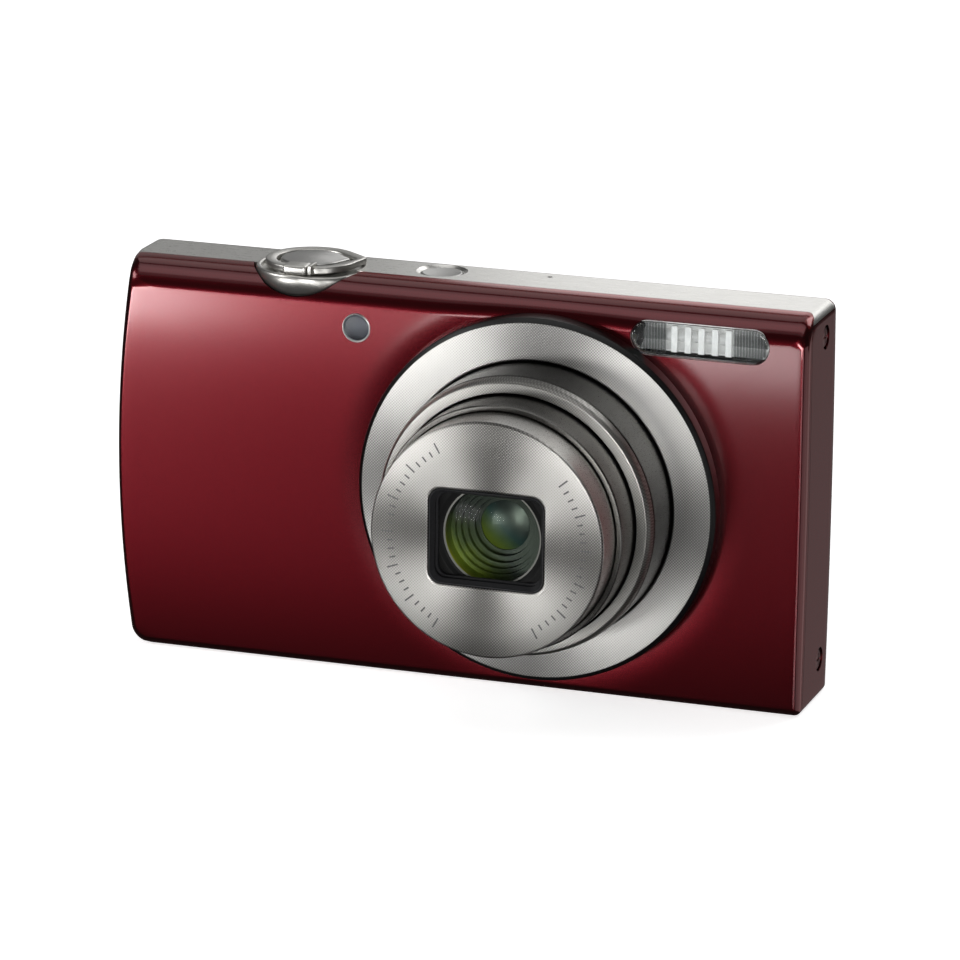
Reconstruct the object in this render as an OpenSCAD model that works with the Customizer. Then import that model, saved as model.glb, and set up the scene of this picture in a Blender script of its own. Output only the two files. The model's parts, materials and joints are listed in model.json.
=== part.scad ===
// Compact digital camera with a three-stage zoom lens, shown with the lens run out.
// Frame: X to the right as seen from the front, the lens looks along -Y, Z up.
// The origin is the centre of the tripod socket's mouth, in the plane of the base.

/* [Body] */
// Width over the bowed ends
body_w = 95.6; // [93:0.2:100]
// Height of the casing without the zoom lever
body_h = 53.2; // [52.6:0.1:54]
// Depth of the casing without the lens ring
body_t = 18; // [17.8:0.1:18.6]
// Wall thickness of the shells
wall = 1.2; // [1:0.1:1.3]
// Bow of the grip end at the front; it straightens out towards the back
bow_grip = 2.2; // [0:0.1:2.4]
// Bow of the other end
bow_far = 0.2; // [0:0.1:1]
// Depth of the front cover at the sides
front_depth = 2.4; // [2.2:0.1:3]
// Depth of the front cover along the top
front_top_depth = 5.4; // [5:0.1:5.8]

/* [Lens] */
// Lens axis, to the right of the tripod socket
lens_x = 12; // [11:0.1:13]
// Lens axis above the base
lens_z = 26.5; // [26:0.1:27]
// Outer radius of the trim ring
ring_r = 24.5; // [24:0.1:24.6]
// How far the trim ring stands out of the casing
ring_h = 2.4; // [2:0.1:3]
// Radius of the outer barrel
outer_r = 18.75; // [18.6:0.05:18.8]
// Radius of the middle barrel
middle_r = 16.45; // [16.2:0.05:16.5]
// Radius of the front barrel
inner_r = 15.55; // [15.3:0.05:15.6]
// Reach of the outer barrel in front of the casing
outer_reach = 11.3; // [10:0.1:11.5]
// Reach of the middle barrel in front of the casing
middle_reach = 16.6; // [16:0.1:17]
// Reach of the front barrel in front of the casing
inner_reach = 22; // [21.5:0.1:23]
// Width of the lens window
window_w = 15.6; // [15:0.1:16]
// Height of the lens window
window_h = 12.7; // [12:0.1:13]

/* [Controls] */
// Shutter button and zoom lever axis, X
shutter_x = -22.5; // [-24:0.1:-21]
// Shutter button and zoom lever axis, behind the front face
shutter_d = 7.4; // [7:0.1:8]
// Radius of the shutter button
shutter_r = 4.3; // [4:0.1:4.4]
// Radius of the zoom lever
lever_r = 6.3; // [6:0.1:6.5]
// Radius of the power button
power_r = 2.9; // [2.6:0.1:3]
// Outer radius of the four-way ring
ring_pad_r = 9; // [8:0.1:9]

/* [Screen] */
// Width of the screen window
screen_w = 55.5; // [54:0.5:56]
// Height of the screen window
screen_h = 42; // [40:0.5:42]

/* [Battery] */
// Battery width
battery_w = 31.4; // [30:0.1:31.4]
// Battery height
battery_h = 40; // [38:0.5:40]
// Battery thickness
battery_t = 5.2; // [4.5:0.1:5.2]

/* [Hidden] */
$fn = 64;

half_w = body_w / 2;
mid_z = body_h / 2;
front = -body_t / 2;                  // Y of the front face
back = body_t / 2;                    // Y of the back face
rear_round = 5;                       // radius along the back edges
corner_tl = 1.2;                      // casing corner radii seen from the front
corner_tr = 1.7;
corner_br = 0.8;
corner_bl = 2.6;
clear = 0.15;                         // running gap around moving covers and buttons
slit = 0.02;                          // gap between shells that are screwed together

// Width of a rounding of depth a and width b, at depth d from where it starts
function round_in(d, a, b) = d >= a ? 0 : b * (1 - sqrt(1 - pow((a - d) / a, 2)));
// Insets of the casing at distance d behind the front face: left, right, bottom, top
function rear_in(d) = round_in(body_t - d, rear_round, rear_round);
function insets(d, w) = [
    round_in(d, 1.4, 0.9) + rear_in(d) + w,
    round_in(d, 2, 0.9) + rear_in(d) + w,
    round_in(d, 1.8, 1.2) + round_in(body_t - d, 3.4, 3.4) + w,
    round_in(d, front_top_depth, 3.4) + rear_in(d) + w
];
function bow(z, sag) = sag * pow((z - mid_z) / mid_z, 2);
function lean(z, sag) = atan(2 * sag * (z - mid_z) / pow(mid_z, 2));
// One corner arc that joins a bowed end to the flat base or top
function corner(sx, sz, x_end, z_end, sag, r) =
    let (zc = z_end - sz * r, s = abs(lean(zc, sag)),
         zt = zc + sz * r * sin(s), xc = x_end - sx * (bow(zt, sag) + r * cos(s)))
    [for (k = [0:5]) let (a = s + (90 - s) * k / 5) [xc + sx * r * cos(a), zc + sz * r * sin(a)]];
function end_run(sx, x_end, sag, z0, z1) =
    [for (k = [1:7]) let (z = z0 + (z1 - z0) * k / 8) [x_end - sx * bow(z, sag), z]];
function reversed(list) = [for (k = [len(list) - 1:-1:0]) list[k]];
// Casing outline in X and Z with the insets i, at distance d behind the front face
function casing_outline(i, d) =
    let (grip = bow_grip * max(0.08, 1 - d / 8),
         xl = -half_w + i[0], xr = half_w - i[1], zb = i[2], zt = body_h - i[3],
         loss = min(i[0], i[3]),
         r = [for (c = [corner_tl, corner_tr, corner_br, corner_bl]) max(0.4, c - loss)],
         tl = corner(-1, 1, xl, zt, grip, r[0]), tr = corner(1, 1, xr, zt, bow_far, r[1]),
         br = corner(1, -1, xr, zb, bow_far, r[2]), bl = corner(-1, -1, xl, zb, grip, r[3]))
    concat(bl, reversed(br), end_run(1, xr, bow_far, br[0][1], tr[0][1]), tr,
           reversed(tl), end_run(-1, xl, grip, tl[0][1], bl[0][1]));

// Lays a drawing in X and Z at depth d behind the front face, h deep
module lay(d, h) translate([0, front + d + h, 0]) rotate([90, 0, 0]) linear_extrude(h) children();
// Cylinder along Y from depth d, h deep
module rod(x, z, d, h, r) translate([x, front + d, z]) rotate([-90, 0, 0]) cylinder(h = h, r = r);
module block(x0, x1, d0, d1, z0, z1) translate([x0, front + d0, z0]) cube([x1 - x0, d1 - d0, z1 - z0]);
module tube(x, z, d, h, r, bore) difference() {
    rod(x, z, d, h, r);
    rod(x, z, d - 1, h + 2, bore);
}
module stadium(w, h) hull() for (s = [-1, 1]) translate([s * (w - h) / 2, 0]) circle(d = h);
module rounded(w, h, r) {
    square([w - 2 * r, h], center = true);
    square([w, h - 2 * r], center = true);
    for (sx = [-1, 1], sz = [-1, 1]) translate([sx * (w / 2 - r), sz * (h / 2 - r)]) circle(r = r);
}
// Skins a row of outlines, from the first depth to the last
module loft(depths, w) {
    rings = [for (d = depths) casing_outline(insets(d, w), d)];
    n = len(rings[0]);
    last = (len(rings) - 1) * n;
    points = [for (i = [0:len(rings) - 1], p = rings[i]) [p[0], front + depths[i], p[1]]];
    corners = [for (i = [0:n:last - n], k = [0:n - 1]) [i + k, i + (k + 1) % n]];
    sides = [for (c = corners, f = [[c[0], c[1], c[1] + n], [c[0], c[1] + n, c[0] + n]]) f];
    caps = [[for (k = [n - 1:-1:0]) k], [for (k = [0:n - 1]) last + k]];
    polyhedron(points, concat(sides, caps));
}

function from_back(list) = [for (d = list) body_t - d];
casing_depths = concat([0, 0.15, 0.5, 1, 1.7, 2.4, 3.8, 5.4, 8], from_back([5, 3.6, 2.3, 1.3, 0.5, 0.1, 0]));
cavity_depths = concat([wall, 2.4, 5.4, 8], from_back([5, 3.6, 2.3, wall]));
module casing() loft(casing_depths, 0);
module cavity() loft(cavity_depths, wall);
module shell() difference() { casing(); cavity(); }

// ---- casing ----
top_split = body_h - 1.3;             // underside of the top cover
top_back = 13.8;                      // depth of the top cover's back edge
screw_d = [10.1, 9];                  // depth and height of the lower and upper side screw
screw_z = [5.3, 49.2];
base_screw_x = [22, 31.5];
base_screw_d = [13.2, 4.4];
screw_r = 1.55;
lamp_x = -13.7;
lamp_z = 46.9;
lamp_r = 1.9;
flash_x = 33.4;
flash_z = 49.15;
flash_w = 18.4;
flash_h = 4.3;
door_x = [-50, -10];
door_d = [3.7, 12.9];
door_top = 1.35;
cover_d = [9.2, 14];                  // terminal cover: depth range
cover_z = [13, 26];
strap_z = 40;
strap_d = 9.2;
strap_floor = -44.5;
speaker_x = 39;
speaker_d = 9;

module front_zone(g) {
    block(-60, 60, -1, front_depth - g, -1, 60);
    block(-60, 60, -1, front_top_depth - g, top_split, 60);
}
module top_zone(g) block(-60, 60, front_top_depth + g, top_back - g, top_split + g, 60);
module bowl_at(r) translate([shutter_x, front + shutter_d - 0.6, 0]) rotate_extrude() polygon(r);
// Collar that carries the zoom lever; it bulges out through the front cover
bowl_profile = [[0, 50.2], [5.8, 50.2], [7, 50.9], [7.7, 51.8], [7.8, 52.4], [7.5, 53], [6.9, 53.3],
    [0, 53.3]];
bowl_hollow = [[0, 49], [5.4, 49], [6.4, 51], [6.6, 51.6], [6.6, top_split], [0, top_split]];

module front_cover() color([0.45, 0.02, 0.06]) difference() {
    intersection() { shell(); front_zone(slit); }
    rod(lens_x, lens_z, -1, 8, 21.15);
    rod(lamp_x, lamp_z, -1, 8, lamp_r + 0.1);
    lay(-1, 8) translate([flash_x, flash_z]) offset(0.1) stadium(flash_w, flash_h);
    translate([shutter_x, front + shutter_d - 0.6, 49.8]) cylinder(h = 5, r = 8);
}
module terminal_zone(g) block(-60, -46.2 + g, cover_d[0] - g, cover_d[1] + g, cover_z[0] - g, cover_z[1] + g);
module door_zone(g) block(door_x[0], door_x[1] + g, door_d[0] - g, door_d[1] + g, -1, door_top + g);
module button_hole(x, z, r) rod(x, z, body_t - 2, 4, r + clear);

movie = [-37.2, 44, 2.6];
playback = [-24.6, 37.5, 2.2];
menu = [-37.4, 10.5, 2.4];
help = [-24.8, 10.5, 2.4];
pad = [-31, 24.5];
set_r = 4.4;
status = [-17.8, 44.5, 0.8];
screen_x = -13.6 + screen_w / 2;
screen_z = 26.6;

// Recess that the strap bar crosses; g is its wall
module strap_pocket(g, x0) block(x0, strap_floor + g, strap_d - 2.5 - g, strap_d + 2.5 + g,
    strap_z - 3.4 - g, strap_z + 3.4 + g);
// Each casing screw points along +Z before it is placed: two at the far end, two in the base
module at_screws() {
    for (k = [0, 1]) translate([47, front + screw_d[k], screw_z[k]]) rotate([0, 90, 0]) children();
    for (k = [0, 1])
        translate([base_screw_x[k], front + base_screw_d[k], 0.6]) rotate([180, 0, 0]) children();
}
module rear_cover() color([0.4, 0.02, 0.05]) difference() {
    union() {
        shell();
        intersection() { casing(); strap_pocket(0.4, -60); }
    }
    front_zone(0);
    block(-60, 60, -5, 0.1, -5, 60);
    top_zone(-slit);
    intersection() {
        translate([shutter_x, front + shutter_d - 0.6, 49.8]) cylinder(h = 5, r = 8);
        block(-60, 60, -5, front_top_depth + 1.1, 0, 60);
    }
    terminal_zone(clear);
    block(-47, -44, 9.7, 13.2, 15.4, 23.8);
    door_zone(clear);
    lay(body_t - 2, 4) translate([screen_x, screen_z])
        square([screen_w + 0.1, screen_h + 0.1], center = true);
    for (b = [movie, playback, menu, help]) button_hole(b[0], b[1], b[2]);
    button_hole(pad[0], pad[1], ring_pad_r);
    rod(status[0], status[1], body_t - 2, 4, status[2] + 0.05);
    at_screws() translate([0, 0, -4]) cylinder(h = 10, r = screw_r);
    strap_pocket(0, -60);
    translate([0, 0, -1]) cylinder(h = 5, r = 4.52);
    for (k = [-2:2]) translate([speaker_x + 1.8 * k, front + speaker_d, -1]) cylinder(h = 5, r = 0.5);
}
mic_x = 9.2;
power_x = -5.2;
power_d = 9.9;
module top_cover() color([0.75, 0.75, 0.73]) difference() {
    union() {
        intersection() { casing(); top_zone(0); }
        intersection() {
            bowl_at(bowl_profile);
            block(-60, 60, -5, front_top_depth + 1, 0, 60);
        }
        translate([shutter_x, front + shutter_d, top_split]) cylinder(h = 1.4, r = 6.4);
    }
    // Wells of the shutter button, the lever's hub and the power button
    translate([shutter_x, front + shutter_d, 45]) cylinder(h = 10, r = 5.1);
    bowl_at(bowl_hollow);
    translate([power_x, front + power_d, 45]) cylinder(h = 10, r = power_r + 0.12);
    translate([power_x, front + power_d, body_h - 0.35])
        cylinder(h = 3, r1 = power_r + 0.2, r2 = power_r + 3.2);
    translate([mic_x, front + 11.6, 45]) cylinder(h = 10, r = 0.35);
}
module strap_bar() color("silver")
    translate([-46.8, front + strap_d, strap_z - 3.4]) cylinder(h = 6.8, r = 0.6);
module tripod_socket() color("silver") difference() {
    union() {
        cylinder(h = 5.5, r = 4.5);
        translate([0, 0, wall + 0.1]) cylinder(h = 0.8, r = 6);
    }
    translate([0, 0, -1]) cylinder(h = 5.6, r = 3.175);
}
module casing_screws() color([0.3, 0.05, 0.08]) at_screws() difference() {
    union() {
        translate([0, 0, -3]) cylinder(h = 3, r = 0.8);
        translate([0, 0, -0.5]) cylinder(h = 0.6, r = 1.45);
    }
    for (a = [0, 90]) rotate(a) translate([-0.8, -0.15, -0.2]) cube([1.6, 0.3, 1]);
}
module terminal_cover() color([0.35, 0.02, 0.05]) intersection() { casing(); terminal_zone(0); }
module usb_connector() color("silver") {
    difference() {
        block(-45.9, -41.6, 9.9, 13, 15.6, 23.6);
        block(-47, -42.2, 10.2, 12.7, 15.9, 23.3);
    }
    block(-45.4, -42.1, 11.1, 11.8, 17, 22.2);
}

// ---- lens ----
module lens_trim_ring() color([0.72, 0.72, 0.7]) translate([lens_x, front, lens_z]) rotate([90, 0, 0])
    rotate_extrude($fn = 128) polygon([
        [18.95, -0.95], [21.05, -0.95], [21.05, 0], [ring_r, 0], [ring_r, ring_h - 0.9],
        [ring_r - 0.65, ring_h], [19.2, ring_h], [18.95, ring_h - 0.3]]);
base_back = 12.6;
module lens_base_tube() color([0.12, 0.12, 0.12]) difference() {
    union() {
        rod(lens_x, lens_z, 1, base_back - 1, 20.2);
        block(-10, 36, base_back, 13.4, 5.8, 47.8);
    }
    rod(lens_x, lens_z, 0, base_back, 18.95);
    block(lens_x - 5.1, lens_x + 5.1, 12, 14, lens_z - 4.1, lens_z + 4.1);
}
// A barrel is a tube with a rolled front edge and an inward face
module barrel(r, reach, length, bore, face_bore, edge) translate([lens_x, front, lens_z]) rotate([90, 0, 0])
    rotate_extrude($fn = 128) polygon([
        [bore, reach - length], [r, reach - length], [r, reach - edge[1]], [r - edge[0], reach],
        [face_bore, reach], [face_bore, reach - 0.8], [bore, reach - 0.8]]);
module outer_barrel() color([0.25, 0.25, 0.24])
    barrel(outer_r, outer_reach, 14.4, outer_r - 0.9, middle_r + 0.2, [0.4, 1.6]);
module middle_barrel() color([0.22, 0.22, 0.21])
    barrel(middle_r, middle_reach, 14.3, middle_r - 0.55, inner_r + 0.2, [0.15, 0.3]);
module front_barrel() color([0.6, 0.6, 0.58]) translate([lens_x, front, lens_z]) rotate([90, 0, 0])
    difference() {
        translate([0, 0, inner_reach - 13.8]) cylinder(h = 13.1, r = inner_r);
        translate([0, 0, inner_reach - 14]) cylinder(h = 14, r = 14.7);
    }
module front_name_ring() color([0.7, 0.7, 0.68]) difference() {
    rod(lens_x, lens_z, -inner_reach, 0.7, inner_r);
    lay(-inner_reach - 1, 3) translate([lens_x, lens_z]) rounded(window_w, window_h, 1.9);
}
module window_bezel() color([0.05, 0.05, 0.06]) lay(-inner_reach + 0.1, 0.6) translate([lens_x, lens_z])
    difference() {
        rounded(window_w - 0.04, window_h - 0.04, 1.9);
        rounded(window_w - 0.9, window_h - 0.9, 1.5);
    }
// Plate that carries the barrier blades
module barrier_plate() color([0.05, 0.05, 0.06]) difference() {
    rod(lens_x, lens_z, -inner_reach + 1.45, 0.5, 14.65);
    lay(-inner_reach - 1, 6) translate([lens_x, lens_z]) rounded(window_w - 0.8, window_h - 0.8, 1.5);
}
module blade(s) color([0.08, 0.08, 0.09]) intersection() {
    lay(-inner_reach + 0.9, 0.35)
        translate([lens_x - 9, lens_z + (s > 0 ? window_h / 2 + 0.05 : -window_h / 2 - 6.95)])
        square([18, 6.9]);
    rod(lens_x, lens_z, -inner_reach, 3, 14.4);
}
module barrier_blade_upper() blade(1);
module barrier_blade_lower() blade(-1);
module front_lens() color([0.4, 0.5, 0.3, 0.5]) translate([lens_x, front - inner_reach + 2.9, lens_z])
    rotate([-90, 0, 0]) intersection() {
        cylinder(h = 1.9, r = 6.4);
        translate([0, 0, 25]) sphere(r = 25, $fn = 128);
    }
// Barrel insert that holds the front group, stepped down behind the glass
module lens_group_holder() color([0.06, 0.06, 0.06]) translate([lens_x, front - inner_reach, lens_z])
    rotate([-90, 0, 0]) rotate_extrude() polygon([
        [6.5, 2.1], [14.6, 2.1], [14.6, 3.4], [7.6, 3.4], [7.6, 9.6], [3.4, 9.6], [3.4, 7.9],
        [4.3, 7.9], [4.3, 6.4], [5.2, 6.4], [5.2, 4.85], [6.5, 4.85]]);
module rear_lens() color([0.4, 0.5, 0.4, 0.5]) rod(lens_x, lens_z, -inner_reach + 8, 1.4, 3.35);
module shutter_unit() color([0.1, 0.1, 0.1]) difference() {
    rod(lens_x, lens_z, -inner_reach + 9.8, 0.9, 14.5);
    rod(lens_x, lens_z, -inner_reach + 9, 3, 2.6);
}
rod_reach = 12.3;
module focus_lens_frame() color([0.08, 0.08, 0.08]) difference() {
    union() {
        rod(lens_x, lens_z, 7.6, 1.4, 7.5);
        block(lens_x - rod_reach - 1, lens_x + rod_reach + 1, 7.8, 8.8, lens_z - 1.2, lens_z + 1.2);
    }
    rod(lens_x, lens_z, 7, 3, 4.5);
    for (s = [-1, 1]) rod(lens_x + s * rod_reach, lens_z, 7, 3, 0.55);
}
module focus_guide_rods() color("silver") for (s = [-1, 1])
    rod(lens_x + s * rod_reach, lens_z, 7.3, base_back - 7.3, 0.5);
module focus_lens() color([0.4, 0.5, 0.45, 0.5]) rod(lens_x, lens_z, 7.7, 1.2, 4.48);
module image_sensor() color([0.15, 0.25, 0.3])
    block(lens_x - 5, lens_x + 5, 12, 13.38, lens_z - 4, lens_z + 4);

// ---- zoom drive ----
gear_module = 0.5;
ring_teeth = 86;
pinion_teeth = 12;
gear_distance = gear_module * (ring_teeth + pinion_teeth) / 2;
motor_angle = -35;
motor_x = lens_x + gear_distance * cos(motor_angle);
motor_z = lens_z + gear_distance * sin(motor_angle);
// Outline of a spur gear with straight flanks and backlash
gear_tooth = [[-0.29, -1.2], [-0.22, 0], [-0.11, 0.9], [0.11, 0.9], [0.22, 0], [0.29, -1.2]];
function gear_points(n, m) = [for (k = [0:n - 1], p = gear_tooth)
    let (a = 360 * (k + p[0]) / n, r = n * m / 2 + p[1] * m) [r * cos(a), r * sin(a)]];
module drive_ring() color([0.85, 0.83, 0.75]) difference() {
    translate([lens_x, front + 12, lens_z]) rotate([90, 0, 0]) linear_extrude(2.2)
        rotate(motor_angle) polygon(gear_points(ring_teeth, gear_module));
    rod(lens_x, lens_z, 9, 4, 20.27, $fn = 256);
}
module zoom_motor() color("silver") union() {
    rod(motor_x, motor_z, 1.3, 8.1, 3.3);
    rod(motor_x, motor_z, 9, 3.2, 0.6);
}
module motor_pinion() color("gold") difference() {
    translate([motor_x, front + 12, motor_z]) rotate([90, 0, 0]) linear_extrude(2.2)
        rotate(motor_angle + 180 + 180 / pinion_teeth) polygon(gear_points(pinion_teeth, gear_module));
    rod(motor_x, motor_z, 9, 4, 0.65);
}

// ---- top controls ----
lever_top = 54;
module zoom_lever() color([0.7, 0.7, 0.68]) translate([shutter_x, front + shutter_d, 0]) difference() {
    union() {
        translate([0, 0, lever_top - 0.6]) hull() {
            cylinder(h = 0.6, r = lever_r);
            translate([5.7, 1.9, 0]) cylinder(h = 0.45, r = 0.9);
        }
        translate([0, 0, 50.6]) cylinder(h = 3, r = 4.95);
        // Nub for the finger
        intersection() {
            translate([-1.8, -lever_r - 0.9, lever_top - 0.6]) cube([3.6, 2.6, 0.9]);
            translate([0, -lever_r + 1.3, 0]) cylinder(h = 60, r = 2.2);
        }
    }
    translate([0, 0, 50]) cylinder(h = 5, r = shutter_r + clear);
}
module shutter_button() color([0.75, 0.75, 0.74]) translate([shutter_x, front + shutter_d, 0]) {
    translate([0, 0, 52.5]) cylinder(h = 1.4, r = shutter_r);
    intersection() {
        translate([0, 0, 53.9]) cylinder(h = 0.5, r = shutter_r);
        translate([0, 0, lever_top + 0.3 - 31]) sphere(r = 31, $fn = 128);
    }
    translate([0, 0, 49.6]) cylinder(h = 2.9, r = 1.3);
}
module shutter_spring() color("silver") translate([shutter_x, front + shutter_d, 50.1]) difference() {
    cylinder(h = 2.35, r = 2.2);
    translate([0, 0, -1]) cylinder(h = 5, r = 1.8);
}
// Cup under the shutter button; the spring stands on it
module shutter_holder() color([0.1, 0.1, 0.1]) translate([shutter_x, front + shutter_d, 0]) difference() {
    translate([0, 0, 48.7]) cylinder(h = 1.38, r = 4.6);
    translate([0, 0, 48]) cylinder(h = 1.2, r = 3.4);
    translate([0, 0, 48]) cylinder(h = 5, r = 1.5);
}
module power_button() color([0.6, 0.6, 0.6]) translate([power_x, front + power_d, 0]) {
    translate([0, 0, 51]) cylinder(h = 2, r = power_r);
    translate([0, 0, 50.8]) cylinder(h = 0.8, r = power_r + 0.6);
}
module microphone() color([0.6, 0.6, 0.6]) translate([mic_x, front + 11.6, 49]) cylinder(h = 2.8, r = 1.6);

// ---- front optics and flash ----
module af_lamp() color([0.6, 0.65, 0.7, 0.6]) rod(lamp_x, lamp_z, -0.15, 2.4, lamp_r);
module flash_window() color([0.9, 0.9, 0.9, 0.5])
    lay(-0.15, 1.7) translate([flash_x, flash_z]) stadium(flash_w, flash_h);
module flash_reflector() color("silver") difference() {
    block(flash_x - 8.6, flash_x + 8.6, 1.65, 6.4, 47.5, 51.2);
    block(flash_x - 8.2, flash_x + 8.2, 1, 5.9, 47.9, 50.8);
}
module flash_tube() color([0.9, 0.9, 0.95])
    translate([flash_x - 8, front + 4.6, 49.35]) rotate([0, 90, 0]) cylinder(h = 16, r = 0.9);
module flash_capacitor() color([0.1, 0.1, 0.12]) translate([41.2, front + 8.2, 14]) {
    cylinder(h = 28, r = 3.6);
    for (s = [-1, 1]) translate([0, s * 1.4, 28]) cylinder(h = 2, r = 0.35);
}

// ---- back ----
module screen_window() color([0.02, 0.02, 0.03])
    lay(body_t - 0.95, 1.1) translate([screen_x, screen_z]) square([screen_w, screen_h], center = true);
module screen_panel() color([0.1, 0.1, 0.12])
    block(screen_x - 27, screen_x + 27, body_t - 2.8, body_t - 1.05, screen_z - 20, screen_z + 20);
// Button cap with the flange that keeps it in the rear cover
module cap(b, proud) {
    rod(b[0], b[1], body_t - 2.4, 2.4 + proud, b[2]);
    rod(b[0], b[1], body_t - 2.4, 0.6, b[2] + 0.6);
}
module four_way_ring() color([0.1, 0.1, 0.1]) difference() {
    cap([pad[0], pad[1], ring_pad_r], 0.45);
    rod(pad[0], pad[1], body_t - 3, 4, set_r + 0.2);
}
// Plate that the four-way ring tips on
module ring_rocker() color([0.5, 0.5, 0.5]) tube(pad[0], pad[1], body_t - 2.95, 0.3, 6.5, set_r + 0.5);
module set_button() color([0.15, 0.15, 0.15]) rod(pad[0], pad[1], body_t - 2.4, 2.75, set_r);
module movie_button() color([0.12, 0.12, 0.12]) cap(movie, 0.35);
module playback_button() color([0.12, 0.12, 0.12]) cap(playback, 0.35);
module menu_button() color([0.12, 0.12, 0.12]) cap(menu, 0.35);
module help_button() color([0.12, 0.12, 0.12]) cap(help, 0.35);
module status_lamp() color([0.3, 0.8, 0.3]) rod(status[0], status[1], body_t - 2.4, 2.4, status[2]);

// Main board with its chip, key board, top board and sensor board
module circuit_boards() color([0.1, 0.35, 0.18]) {
    block(-43, -11, 13, 13.6, 5, 46);
    block(-36, -22, 13.6, 13.9, 14, 28);
    block(-42, -15, body_t - 3.9, body_t - 3.3, 6, 47);
    block(-30, -1, 3, 13, 48, 48.68);
    block(lens_x - 8, lens_x + 8, 13.42, 14, lens_z - 7, lens_z + 7);
}

// ---- power and card ----
box_d = [3.5, 9.7];
battery_x = -27.7;
box_half = battery_w / 2 + 0.55;
module battery_box() color([0.15, 0.15, 0.15]) difference() {
    block(battery_x - box_half, battery_x + box_half, box_d[0], box_d[1], 2.2, 44.4);
    block(battery_x - box_half + 0.45, battery_x + box_half - 0.45, box_d[0] + 0.45, box_d[1] - 0.4, 1, 43.9);
}
module battery() color([0.2, 0.2, 0.22])
    block(battery_x - battery_w / 2, battery_x + battery_w / 2, 4.05, 4.05 + battery_t, 2.6, 2.6 + battery_h);
module battery_contacts() color("gold") for (k = [-1:1])
    block(battery_x + 10 + 2.4 * k - 0.6, battery_x + 10 + 2.4 * k + 0.6, 5.4, 8, 2.6 + battery_h, 43.85);
module battery_lock() color("orange") block(-22, -18, 3, 5.2, 1.72, 2.12);
module card_slot() color("silver") difference() {
    block(-40.6, -15.4, 9.8, 12.75, 2.4, 36.5);
    block(-40.2, -15.8, 10.15, 12.4, 1, 36.1);
}
module memory_card() color([0.05, 0.1, 0.3]) difference() {
    block(-40, -16, 10.22, 12.32, 2.9, 34.9);
    translate([-16, 0, 34.9]) rotate([0, 45, 0]) cube([6, 60, 6], center = true);
}

// ---- battery door ----
pin_x = -44.45;
pin_z = 0.75;
arm_d = [door_d[0] + 0.35, door_d[1] - 0.95];   // depth of each hinge arm
arm_t = 0.6;
module battery_door() color([0.35, 0.02, 0.05]) difference() {
    intersection() {
        casing();
        door_zone(0);
        union() {
            block(pin_x, 0, 0, 20, -1, 3);
            translate([pin_x, -30, pin_z]) rotate([-90, 0, 0]) cylinder(h = 60, r = 0.6);
        }
    }
    for (d = arm_d) block(-50, -41, d - 0.2, d + arm_t + 0.2, 0.22, 3);
    translate([pin_x, -30, pin_z]) rotate([-90, 0, 0]) cylinder(h = 60, r = 0.36);
}
// Sliding carriage with the hinge arms and the hinge pin
module door_carriage() color("silver") {
    block(-42.2, -36.5, arm_d[0], arm_d[1] + arm_t, 1.5, 1.8);
    for (d = arm_d) {
        block(-42.2, -41.5, d, d + arm_t, 0.45, 1.5);
        block(pin_x, -42.2, d, d + arm_t, 0.45, 1.05);
        rod(pin_x, pin_z, d, arm_t, 0.3);
    }
    rod(pin_x, pin_z, arm_d[0] + arm_t, arm_d[1] - arm_d[0] - arm_t, 0.3);
}
module speaker() color([0.1, 0.1, 0.1])
    translate([speaker_x, front + speaker_d, wall + 0.15]) cylinder(h = 2.4, r = 4.5);

front_cover();
rear_cover();
top_cover();
lens_trim_ring();
lens_base_tube();
outer_barrel();
middle_barrel();
front_barrel();
front_name_ring();
window_bezel();
barrier_plate();
barrier_blade_upper();
barrier_blade_lower();
front_lens();
lens_group_holder();
rear_lens();
shutter_unit();
focus_lens_frame();
focus_lens();
focus_guide_rods();
image_sensor();
drive_ring();
zoom_motor();
motor_pinion();
shutter_button();
shutter_spring();
shutter_holder();
zoom_lever();
power_button();
microphone();
af_lamp();
flash_window();
flash_reflector();
flash_tube();
flash_capacitor();
screen_window();
screen_panel();
four_way_ring();
ring_rocker();
set_button();
movie_button();
playback_button();
menu_button();
help_button();
status_lamp();
circuit_boards();
battery_box();
battery();
battery_contacts();
battery_lock();
card_slot();
memory_card();
battery_door();
door_carriage();
terminal_cover();
usb_connector();
strap_bar();
tripod_socket();
speaker();
casing_screws();
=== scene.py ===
import json
from math import asin, atan, cos, pi, radians, sin, sqrt

import bmesh
import bpy
import numpy as np
from mathutils import Matrix, Vector


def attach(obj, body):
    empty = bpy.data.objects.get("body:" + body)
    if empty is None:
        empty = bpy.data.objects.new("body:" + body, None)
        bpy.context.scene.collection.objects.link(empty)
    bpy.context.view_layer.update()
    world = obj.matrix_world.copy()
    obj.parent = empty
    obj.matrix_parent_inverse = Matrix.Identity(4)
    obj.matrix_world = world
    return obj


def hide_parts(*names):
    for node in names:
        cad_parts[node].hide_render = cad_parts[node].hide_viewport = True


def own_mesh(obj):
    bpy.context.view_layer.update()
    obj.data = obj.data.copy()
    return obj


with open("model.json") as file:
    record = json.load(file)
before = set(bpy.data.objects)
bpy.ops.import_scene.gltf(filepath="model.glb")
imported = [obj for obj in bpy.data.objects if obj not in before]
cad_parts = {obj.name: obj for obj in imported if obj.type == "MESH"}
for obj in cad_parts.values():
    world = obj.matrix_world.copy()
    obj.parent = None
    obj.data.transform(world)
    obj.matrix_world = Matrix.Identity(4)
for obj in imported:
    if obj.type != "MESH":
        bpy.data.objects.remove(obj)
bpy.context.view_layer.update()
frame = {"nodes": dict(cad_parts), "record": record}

# Lengths below are millimetres: X, depth behind the front face, Z. Metres only leave to_row().
MM = 0.001
FRONT = -9.0  # Y of the front face
THICK = 18.0  # casing, front to back
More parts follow.
